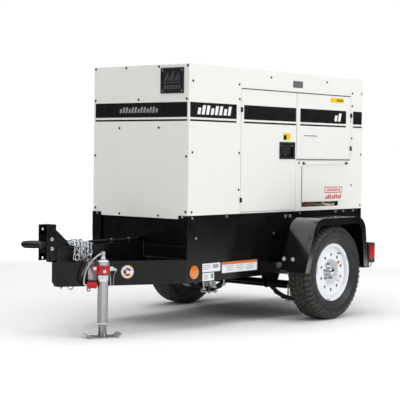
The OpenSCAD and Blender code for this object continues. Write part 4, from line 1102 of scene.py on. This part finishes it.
def buildBadge():
    place = nosePlace(-296, 1680.5, -4)
    w, h, up = badge["across"], badge["tall"], badge["raise"]
    bm = bmesh.new()
    rim = badge["rim"]
    for x0, x1, y0, y1 in ((-w / 2, w / 2, h / 2 - rim, h / 2), (-w / 2, w / 2, -h / 2, -h / 2 + rim),
            (-w / 2, -w / 2 + rim, -h / 2, h / 2), (w / 2 - rim, w / 2, -h / 2, h / 2)):
        addBox(bm, (x0, y0, -1), (x1, y1, up + 1), place)
    finishPiece("badgeFrame", bm, "trailer", absBlack, bevel=1.2)
    # an abstract emblem: three leaning blades over a row of plain bars
    bm = bmesh.new()
    for i, tall in enumerate((46, 62, 46)):
        x = (i - 1) * 48
        addSlab(bm, [(x - 24, -2), (x - 6, -2), (x + 20, tall), (x + 2, tall)], up, place)
        addSlab(bm, [(x + 4, -2), (x + 14, -2), (x + 26, tall * 0.5), (x + 18, tall * 0.5)], up, place)
    addBox(bm, (-78, -16, 0), (78, -10, up), place)
    for i in range(6):
        x = (i - 2.5) * 26
        addSlab(bm, [(x - 10, -58), (x + 7, -58), (x + 11, -30), (x - 6, -30)], up, place)
    finishPiece("badgeEmblem", bm, "trailer", badgeGrey, bevel=0.5)
    bm = bmesh.new()
    for sx in (-1, 1):
        for sy in (-1, 1):
            corner = Matrix.Translation((sx * (w / 2 - badge["rivetIn"]), sy * (h / 2 - badge["rivetIn"]), 0))
            addLathe(bm, [(5, 0), (5, 2.4), (3, 3.4), (0, 3.6)], place @ corner, 16)
    finishPiece("badgeRivets", bm, "trailer", zinc)


# jack
jack = {"cupLow": 364, "cupHigh": 412, "cupR": 41, "ringWireMm": 3.2, "ringR": 17, "wireR": 1.6,
    "crankPivotZ": 546, "gripRibs": 7}


def jackAt(x, y, z):
    return Vector((jackX, jackY, 0)) + jackAlong * x * mm + jackOut * y * mm + Vector((0, 0, z * mm))


def jackTurn(x, y, z):
    turned = Matrix((jackAlong, jackOut, Vector((0, 0, 1)))).transposed().to_4x4()
    return Matrix.Translation(jackAt(x, y, z)) @ turned @ inMm


def buildJack():
    # bright cup under the red clamp, the swaged head and the lower wiper ring
    column = jackTurn(0, 0, 0)
    bm = bmesh.new()
    r = jack["cupR"]
    low, high = jack["cupLow"], jack["cupHigh"]
    addLathe(bm, [(35, high - 8), (r, high - 8), (r, high - 16), (r - 2, low + 12), (r - 4.5, low),
        (35, low)], column, 48, closed=True)
    addLathe(bm, [(35, 488), (40.5, 488), (41.5, 491), (41.5, 498), (39, 501), (24, 502), (24, 500),
        (35, 498)],
        column, 48, closed=True)
    addLathe(bm, [(22.5, 500), (21.5, 508), (17, 514), (12, 518), (12, 512), (19, 506)],
        column, 40, closed=True)
    addLathe(bm, [(35, 88.5), (36.6, 88.5), (36.6, 98), (35, 98)], column, 48, closed=True)
    addBox(bm, (-17, 38, 372), (17, 42, 404), column)
    finishPiece("jackCollars", bm, "jack", brightZinc, bevel=0.8)
    # bolt heads and a boss on the clamp
    bm = bmesh.new()
    for x in (-52, 52):
        addBox(bm, (x - 12, -8, 436), (x + 12, 8, 458), column)
    for x, way in ((-64, -1), (64, 1)):
        turned = jackTurn(x, 0, 447) @ Matrix.Rotation(way * math.pi / 2, 4, "Y")
        addHexBolt(bm, turned, 7, 5)
    addHexBolt(bm, jackTurn(0, 41, 430) @ Matrix.Rotation(-math.pi / 2, 4, "X"), 8, 5)
    finishPiece("clampBolts", bm, "jack", brightZinc, bevel=0.6)
    bm = bmesh.new()
    addBox(bm, (-46, -9, 418), (-38, 9, 462), column)
    addBox(bm, (38, -9, 418), (46, 9, 462), column)
    finishPiece("clampEars", bm, "jack", powderRed, bevel=1.5)
    # bracket plate's edge welds and the pin's hanging lanyard
    bm = bmesh.new()
    for z in (372, 476):
        addTube(bm, [jackAt(x, -74 + 0.5 * math.sin(x), z) for x in range(-58, 76, 6)], 4 * mm, 8)
    finishPiece("mountWelds", bm, "trailer", weldBead, smooth=60)
    bm = bmesh.new()
    thin = [jackAt(-98, -52, 436), jackAt(-100, -46, 442), jackAt(-104, -40, 430), jackAt(-88, -38, 400),
        jackAt(-84, -40, 360), jackAt(-85, -42, 332)]
    thick = [jackAt(-66, -52, 438), jackAt(-62, -44, 420), jackAt(-63, -40, 380), jackAt(-64, -40, 322)]
    addTube(bm, smoothPath(thin, 6), jack["wireR"] * mm, 8)
    addTube(bm, smoothPath(thick, 6), 3 * mm, 8)
    addRound(bm, 15 * mm, jackAt(-103, -52, 430), jackAt(-108, -52, 430), 12 * mm, 20)
    addRound(bm, 9 * mm, jackAt(-86, -52, 430), jackAt(-90, -52, 430), 9 * mm, 20)
    finishPiece("pinLanyard", bm, "pin", brightZinc, smooth=60)
    # yoke head and the crank's pivot
    bm = bmesh.new()
    pivotZ = jack["crankPivotZ"]
    addRound(bm, 8 * mm, jackAt(0, -21, pivotZ), jackAt(0, -14, pivotZ), 7 * mm, 20)
    addRound(bm, 8 * mm, jackAt(0, 14, pivotZ), jackAt(0, 21, pivotZ), 7 * mm, 20)
    addLathe(bm, [(14.5, 517), (15.5, 519), (15.5, 525), (14.5, 527), (9, 527), (9, 517)],
        column, 32, closed=True)
    finishPiece("yokeRivet", bm, "crank_yoke", brightZinc)
    # ribs on the red grip, and the black ring below it
    low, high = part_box("crank_grip")
    gripZ = (low.z + high.z) / 2 / mm
    bm = bmesh.new()
    ribs = jack["gripRibs"]
    for k in range(ribs):
        # soft fins, tallest at the two ends
        tall = 24.5 if k in (0, ribs - 1) else 21.5
        fin = [(17.5, -3.4), (tall - 1.5, -2.6), (tall, -1.4), (tall, 1.4), (tall - 1.5, 2.6), (17.5, 3.4)]
        place = jackTurn(47 + k * 8.4, 0, gripZ) @ Matrix.Rotation(math.pi / 2, 4, "Y")
        addLathe(bm, fin, place, 32, closed=True)
    finishPiece("gripRibs", bm, "grip", gripPvc)
    bm = bmesh.new()
    ring = jack["ringR"]
    ringZ = gripZ - 17 - ring * 0.55
    loop = [jackAt(95 + ring * 0.55 * math.cos(a), 4 * math.sin(a * 2), ringZ + ring * 0.75 * math.sin(a))
        for a in around(28)]
    addTube(bm, loop, jack["ringWireMm"] * mm, 10, closed=True)
    finishPiece("gripRing", bm, "crank", nylon, smooth=60)


# tongue: welds, harness, chain eyes and small wire
tongue = {"beadMm": 4, "conduitR": 11, "eyeWire": 5, "ringAlong": 784, "gussetHalf": 5.4,
    "conduitClips": (-440, -260, -90)}


def weldLine(bm, start, end, size=tongue["beadMm"]):
    start, end = Vector(start), Vector(end)
    steps = max(int((end - start).length / (5 * mm)), 2)
    across = (end - start).orthogonal().normalized()
    ripple = [start.lerp(end, k / steps) + across * (0.4 * mm if k % 2 else -0.4 * mm)
        for k in range(steps + 1)]
    addTube(bm, ripple, size * mm, 6)


def buildTongue():
    bm = bmesh.new()
    railTop, railZ = railHigh.z / mm, railLow.z / mm
    for s in (-1, 1):
        weldLine(bm, fromFront(0.5, s * 443.5, railZ + 3), fromFront(0.5, s * 443.5, railTop - 2))
        weldLine(bm, fromFront(-780, s * 50, railTop + 1), fromFront(-640, s * 50, railTop + 1))
        weldLine(bm, fromFront(-810, s * 39, 502), fromFront(-810, s * 39, 588))
        weldLine(bm, fromFront(-3, s * 50, railTop + 2), fromFront(-3, s * 50, railTop + 102))
        weldLine(bm, fromFront(-808, s * 6, 592), fromFront(-808, s * 6, 700), 3)
        weldLine(bm, fromFront(-800, s * 6, 590.5), fromFront(-655, s * 6, 590.5), 3)
    weldLine(bm, fromFront(-804, 0, railZ + 30), fromFront(-804, 0, railTop - 2))
    plate = bmesh.new()
    flat = Matrix.Translation(fromFront(0, tongue["gussetHalf"], 0)) @ Matrix.Rotation(math.pi / 2, 4, "X")
    outline = [(-809, 590), (-650, 590), (-650, 597), (-796, 706), (-809, 706)]
    addSlab(plate, outline, 2 * tongue["gussetHalf"], flat @ inMm)
    finishPiece("hitchGusset", plate, "trailer", black, bevel=1)
    finishPiece("tongueWelds", bm, "trailer", weldBead, smooth=60)
    # wiring conduit from the chain to the enclosure, ribbed, with clips
    bm = bmesh.new()
    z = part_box("centre_tube")[1].z / mm + tongue["conduitR"]
    run = smoothPath(route((-520, 14, z), (-400, 10, z), (-250, 17, z), (-80, 14, z), (4, 14, z + 3)), 34)
    addTube(bm, run, tongue["conduitR"] * 0.86 * mm, 14)
    for here, there in zip(run, run[1:]):
        along = (there - here).normalized()
        addRound(bm, tongue["conduitR"] * mm, here - along * 0.9 * mm, here + along * 0.9 * mm, segments=14)
    finishPiece("wiringConduit", bm, "trailer", nylon, smooth=50)
    bm = bmesh.new()
    for x in tongue["conduitClips"]:
        addBox(bm, fromFront(x - 8, 2, z - 11), fromFront(x + 8, 44, z - 9))
        addTube(bm, [fromFront(x, 14 + 12.5 * math.cos(a), z + 12.5 * math.sin(a))
            for a in (math.pi * k / 10 for k in range(11))], 1.6 * mm, 6)
        addHexBolt(bm, Matrix.Translation(fromFront(x, 36, z - 9)) @ inMm, 5, 4)
    finishPiece("conduitClips", bm, "trailer", zinc)
    # ring under each leg for the chain's stowage, and the thin pin chain over the left one
    bm = bmesh.new()
    for s in (-1, 1):
        corner = Vector((frontX, s * sideY, 0))
        along = Vector((jackAlong.x, jackAlong.y * -s, 0))
        centre = corner + along * tongue["ringAlong"] * mm + Vector((0, -s * 0.02, railLow.z - 6 * mm))
        addTube(bm, [centre + along * (16 * mm * math.cos(a)) + Vector((0, 0, 14 * mm * math.sin(a)))
            for a in around(24)], tongue["eyeWire"] * mm, 10, closed=True)
    finishPiece("stowageRings", bm, "trailer", brightZinc, smooth=60)
    bm = bmesh.new()
    start = legPlace(690, 486)
    points = [start @ Vector(p) for p in ((0, 0, -6), (2, 1, 3), (-6, -30, 5), (-22, -60, 4), (-34, -88, 4))]
    path = smoothPath(points, 14)
    for a, b in zip(path[::2], path[1::2]):
        addRound(bm, 2.3 * mm, a, b, segments=8)
    addTube(bm, path, 0.9 * mm, 6)
    finishPiece("pinChain", bm, "trailer", brightZinc, smooth=60)


# underside and running gear
running = {"hookX": (205, 318, 420), "axleDrop": 123, "brakeLineX": 1240}


def buildUnderside():
    bm = bmesh.new()
    for x in running["hookX"]:
        foot = 262 + 0.05 * x
        addRound(bm, 4 * mm, fromFront(x, -420, 326), fromFront(x, -420, foot), segments=12)
        addBox(bm, fromFront(x - 16, -428, foot - 4), fromFront(x + 16, -412, foot + 2))
    finishPiece("stakeHooks", bm, "trailer", zinc)
    # brake drums and backing plates behind the wheels; the drums are near black, partly their own finish and
    # partly a painted shade that makes the wheel's holes dark
    for side, name in ((-1, "left"), (1, "right")):
        bm = bmesh.new()
        place = wheelPlace(side)
        addLathe(bm, [(50, -8), (118, -8), (124, -14), (124, -52), (120, -56), (50, -58)],
            place, 64, closed=True)
        finishPiece(name + "BrakeDrum", bm, name + "_wheel", springSteel, bevel=0.8)
        bm = bmesh.new()
        addLathe(bm, [(20, -63), (131, -63), (134, -60), (134, -66), (131, -69), (20, -69)],
            place, 64, closed=True)
        finishPiece(name + "BackingPlate", bm, "trailer", black)
    bm = bmesh.new()
    lineZ = tyreR / mm - running["axleDrop"] + 32
    points = [fromFront(running["brakeLineX"], y, lineZ) for y in range(-460, 461, 40)]
    addTube(bm, smoothPath(points, 3), 3 * mm, 8)
    finishPiece("brakeLine", bm, "trailer", nylon, smooth=60)


# tail lights
tailLight = {"lens": (1674, 1743), "ribMm": 4, "ribPitch": 10}


def buildTailLights():
    rib, pitch = tailLight["ribMm"], tailLight["ribPitch"]
    for side, name in ((-1, "left"), (1, "right")):
        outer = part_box("light_housings")[1].y / mm
        x0, x1 = tailLight["lens"]
        bm = bmesh.new()
        for k in range(9):
            z = 430 + k * pitch
            low, high = (x0 + 3, side * (outer + 3.8), z), (x1 - 3, side * (outer + 4.5), z + rib)
            addBox(bm, fromFront(*low), fromFront(*high))
        finishPiece(name + "SideLensRibs", bm, "trailer", lensRedPaintedGlow, bevel=0.8)
        bm = bmesh.new()
        for k in range(11):
            z = 418 + k * pitch
            low, high = (1756.6, side * (outer - 82), z), (1757.6, side * (outer - 18), z + rib)
            addBox(bm, fromFront(*low), fromFront(*high))
        finishPiece(name + "RearLensRibs", bm, "trailer", lensRedPaintedGlow, bevel=0.8)
        bm = bmesh.new()
        for z in (414, 534):
            place = sidePlace(side, 1706, z) @ Matrix.Translation((0, 0, outer - sideY / mm))
            addLathe(bm, [(4.5, 0), (4.5, 1.8), (0, 2.6)], place, 16)
        finishPiece(name + "LampScrews", bm, "trailer", zinc)


# output cables in the slot, behind the cover
cable = {"radius": 9.5, "firstLug": 1380, "lugPitch": 80, "lugZ": 963}


def buildCables():
    z = cable["lugZ"]
    for i, jacket in enumerate((cableBrown, cableRed, cableGreen, cableBlack, cableWhite)):
        lug = cable["firstLug"] + i * cable["lugPitch"]
        bm = bmesh.new()
        path = route((lug, -422, z), (lug - 2, -428, 931), (lug - 20, -425, 876),
            (lug - 50 - 10 * i, -418, 838 - i), (1330 + 60 * i, -428 + 3 * (i % 2), 822 + 3 * (i % 3)),
            (1420 + 50 * i, -432 + 4 * (i % 2), 817 + 4 * (i % 2)), (1560 + 30 * i, -430, 821 - 2 * i),
            (1690 + 12 * i, -424, 827 - 2 * i), (1730 + 5 * i, -380, 833))
        addTube(bm, smoothPath(path, 8), cable["radius"] * mm, 12)
        finishPiece("outputCable%d" % i, bm, "trailer", jacket, smooth=60)
        bm = bmesh.new()
        addRound(bm, 13 * mm, fromFront(lug, -419, z), fromFront(lug, -425, z), segments=24)
        addRound(bm, 8 * mm, fromFront(lug, -422, z - 7), fromFront(lug, -422, z - 37), segments=16)
        addHexBolt(bm, facingOut(fromFront(lug, -425, z), (0, -1, 0)), 9, 7)
        finishPiece("cableLug%d" % i, bm, "trailer", tinnedLug)


# control panel behind its door
panel = {"faceY": -394, "gaugeZ": 1550, "firstGauge": 1336, "gaugePitch": 90}


def buildControls():
    face, top = panel["faceY"], panel["gaugeZ"]
    gauges = [panel["firstGauge"] + i * panel["gaugePitch"] for i in range(3)]
    bm = bmesh.new()
    for x in gauges:
        place = facingOut(fromFront(x, face - 0.4, top), (0, -1, 0))
        addLathe(bm, [(33, -8), (33, 3), (28, 4.5), (26, 2), (0, 2)], place, 40)
    finishPiece("gaugeBezels", bm, "trailer", nylon)
    bm = bmesh.new()
    needles = bmesh.new()
    for i, x in enumerate(gauges):
        place = facingOut(fromFront(x, face - 2.6, top), (0, -1, 0))
        addLathe(bm, [(25, 0), (25, 0.4), (0, 0.4)], place, 36)
        for k in range(9):
            tick = place @ Matrix.Rotation(math.radians(-120 + 30 * k), 4, "Z")
            addBox(needles, (-0.6, 17, 0.5), (0.6, 23, 0.9), tick)
        reading = Matrix.Translation((0, 0, 0.5)) @ Matrix.Rotation(0.7 - i * 0.5, 4, "Z")
        addSlab(needles, [(-1.6, -4), (1.6, -4), (0.5, 19), (-0.5, 19)], 0.8, place @ reading)
    finishPiece("gaugeFaces", bm, "trailer", filmWhite)
    finishPiece("gaugeNeedles", needles, "trailer", filmBlack)
    bm = bmesh.new()
    for i in range(4):
        x = 1316 + i * 75
        addBox(bm, fromFront(x + 8, -398, 1258), fromFront(x + 37, -396, 1300))
        addBox(bm, fromFront(x + 17, -412, 1272), fromFront(x + 28, -397, 1288))
    addBox(bm, fromFront(1640, -390, 1500), fromFront(1790, -384, 1600))
    addRound(bm, 17 * mm, fromFront(1660, -384, 1430), fromFront(1660, -396, 1430), segments=24)
    finishPiece("panelSwitches", bm, "trailer", nylon, bevel=0.8)
    bm = bmesh.new()
    addBox(bm, fromFront(1655, -391.2, 1530), fromFront(1775, -390, 1590))
    finishPiece("readoutGlass", bm, "trailer", filmBlue)
    stop = facingOut(fromFront(1760, -384, 1430), (0, -1, 0))
    disc("stopButton", "trailer", stop, 20, 16, powderRed, dome=4)
    disc("stopCollar", "trailer", stop, 27, 4, filmYellow)
    bm = bmesh.new()
    for x, z in ((1266, 1200), (1860, 1200), (1266, 1612), (1860, 1612)):
        addPanelScrew(bm, facingOut(fromFront(x, -384, z), (0, -1, 0)))
    finishPiece("panelFaceScrews", bm, "trailer", zinc)


# power unit: the small pieces seen with the doors open
engine = {"x": 380, "length": 560, "crankZ": 1026}


def buildEngine():
    x0, length, cz = engine["x"], engine["length"], engine["crankZ"]
    head = cz + 300
    bm = bmesh.new()
    for i in range(9):
        x = x0 + 40 + i * 58
        for s in (-1, 1):
            addBox(bm, fromFront(x, s * 150, cz - 40), fromFront(x + 9, s * 157, cz + 180))
    addBox(bm, fromFront(x0 + 20, -95, head), fromFront(x0 + length - 20, 95, head + 14))
    addBox(bm, fromFront(x0 + 10, 110, cz + 210), fromFront(x0 + length - 20, 150, cz + 270))
    finishPiece("engineRibs", bm, "trailer", castPaint, bevel=2)
    bm = bmesh.new()
    for i in range(4):
        x = x0 + 90 + i * 125
        pipe = route((x, -40, cz + 326), (x + 4, -90, cz + 345), (x - 20, -140, cz + 290),
            (x0 + 240 + i * 18, -172, cz + 160))
        addTube(bm, smoothPath(pipe, 8), 3.2 * mm, 8)
    finishPiece("injectorLines", bm, "trailer", zinc, smooth=60)
    bm = bmesh.new()
    addBox(bm, fromFront(x0 + 210, -205, cz + 60), fromFront(x0 + 320, -151, cz + 165))
    addRound(bm, 26 * mm, fromFront(x0 + 170, -178, cz + 110), fromFront(x0 + 210, -178, cz + 110),
        segments=24)
    finishPiece("injectionPump", bm, "trailer", castAluminiumPart, bevel=3)
    bm = bmesh.new()
    for s, y in ((-1, -178), (1, 178)):
        x = x0 + 420 if s < 0 else x0 + 200
        addRound(bm, 42 * mm, fromFront(x, y, cz - 60), fromFront(x, y, cz + 50), segments=32)
        addRound(bm, 36 * mm, fromFront(x, y, cz + 50), fromFront(x, y, cz + 62), 28 * mm, segments=32)
        addBox(bm, fromFront(x - 30, min(y, s * 150), cz + 40), fromFront(x + 30, max(y, s * 150), cz + 72))
    finishPiece("oilFilters", bm, "trailer", filterPaint, bevel=2)
    # coolant hoses from the radiator's tanks, with clips
    bm = bmesh.new()
    top = route((212, -120, 1366), (250, -128, 1368), (320, -160, 1372), (400, -120, 1340), (420, -70, 1330))
    low = route((212, 150, 880), (260, 160, 880), (330, 190, 900), (400, 180, 980), (430, 150, 1010))
    for run in (top, low):
        addTube(bm, smoothPath(run, 10), 23 * mm, 20)
    finishPiece("coolantHoses", bm, "trailer", hoseRubber, smooth=60)
    bm = bmesh.new()
    for a, b in ((top[0], top[1]), (low[0], low[1])):
        along = (b - a).normalized()
        addRound(bm, 25 * mm, a + along * 10 * mm, a + along * 20 * mm, segments=32)
    finishPiece("hoseClips", bm, "trailer", zinc)
    # intake duct, exhaust manifold and wiring loom
    bm = bmesh.new()
    duct = smoothPath(route((845, -170, 1650), (900, -168, 1640), (905, -150, 1560), (860, -110, 1480),
        (800, -112, 1300)), 14)
    addTube(bm, duct, 38 * mm, 20)
    for k in range(2, len(duct) - 1, 3):
        along = (duct[k + 1] - duct[k]).normalized()
        addRound(bm, 42 * mm, duct[k] - along * 3 * mm, duct[k] + along * 3 * mm, segments=20)
    finishPiece("intakeDuct", bm, "trailer", hoseRubber, smooth=50)
    bm = bmesh.new()
    for i in range(4):
        x = x0 + 80 + i * 125
        port = route((x, 108, cz + 240), (x, 165, cz + 244), (x + 20, 186, cz + 262))
        addTube(bm, smoothPath(port, 6), 24 * mm, 14)
    collector = route((x0 + 70, 188, cz + 268), (x0 + 460, 188, cz + 268), (x0 + 500, 184, cz + 330),
        (x0 + 510, 180, 1596))
    addTube(bm, smoothPath(collector, 10), 27 * mm, 18)
    finishPiece("exhaustManifold", bm, "trailer", heatScale, smooth=60)
    bm = bmesh.new()
    for shift in (0, 12, 24):
        z = cz + 190 - shift
        loom = route((x0 + 60, -155 - shift / 3, z), (x0 + 300, -158, cz + 205 - shift),
            (x0 + 520, -158, z), (x0 + 640, -215, z), (1240, -300, 1290 - shift), (1300, -330, 1300 - shift))
        addTube(bm, smoothPath(loom, 8), 6 * mm, 8)
    finishPiece("wiringLoom", bm, "trailer", nylon, smooth=60)
    # generator: cooling slots round its end
    bm = bmesh.new()
    for a in around(24):
        place = Matrix.Translation(fromFront(1400, 0, cz)) @ Matrix.Rotation(a, 4, "X")
        addBox(bm, (-14 * mm, -9 * mm, 173 * mm), (34 * mm, 9 * mm, 176.5 * mm), place)
    finishPiece("generatorLouvres", bm, "trailer", black, bevel=0.8)
    # crank pulley and belt, which is wider round the lower pulley
    bm = bmesh.new()
    addRound(bm, 58 * mm, fromFront(366, 0, cz - 40), fromFront(358, 0, cz - 40), segments=40)
    belt = [fromFront(353, 62 * math.sin(a) * (1 if math.cos(a) > 0 else 1.25), cz + 26 + 112 * math.cos(a))
        for a in around(48)]
    addTube(bm, belt, 6 * mm, 8, closed=True)
    finishPiece("fanBelt", bm, "trailer", rubber, smooth=60)


buildMarkers()
buildScrews()
buildDoorTrim()
buildBadge()
print("markers, screws, doors and badge done")
buildJack()
buildTongue()
buildUnderside()
buildTailLights()
print("jack, tongue and running gear done")
buildCables()
buildControls()
buildEngine()
print("cables, controls and engine done")
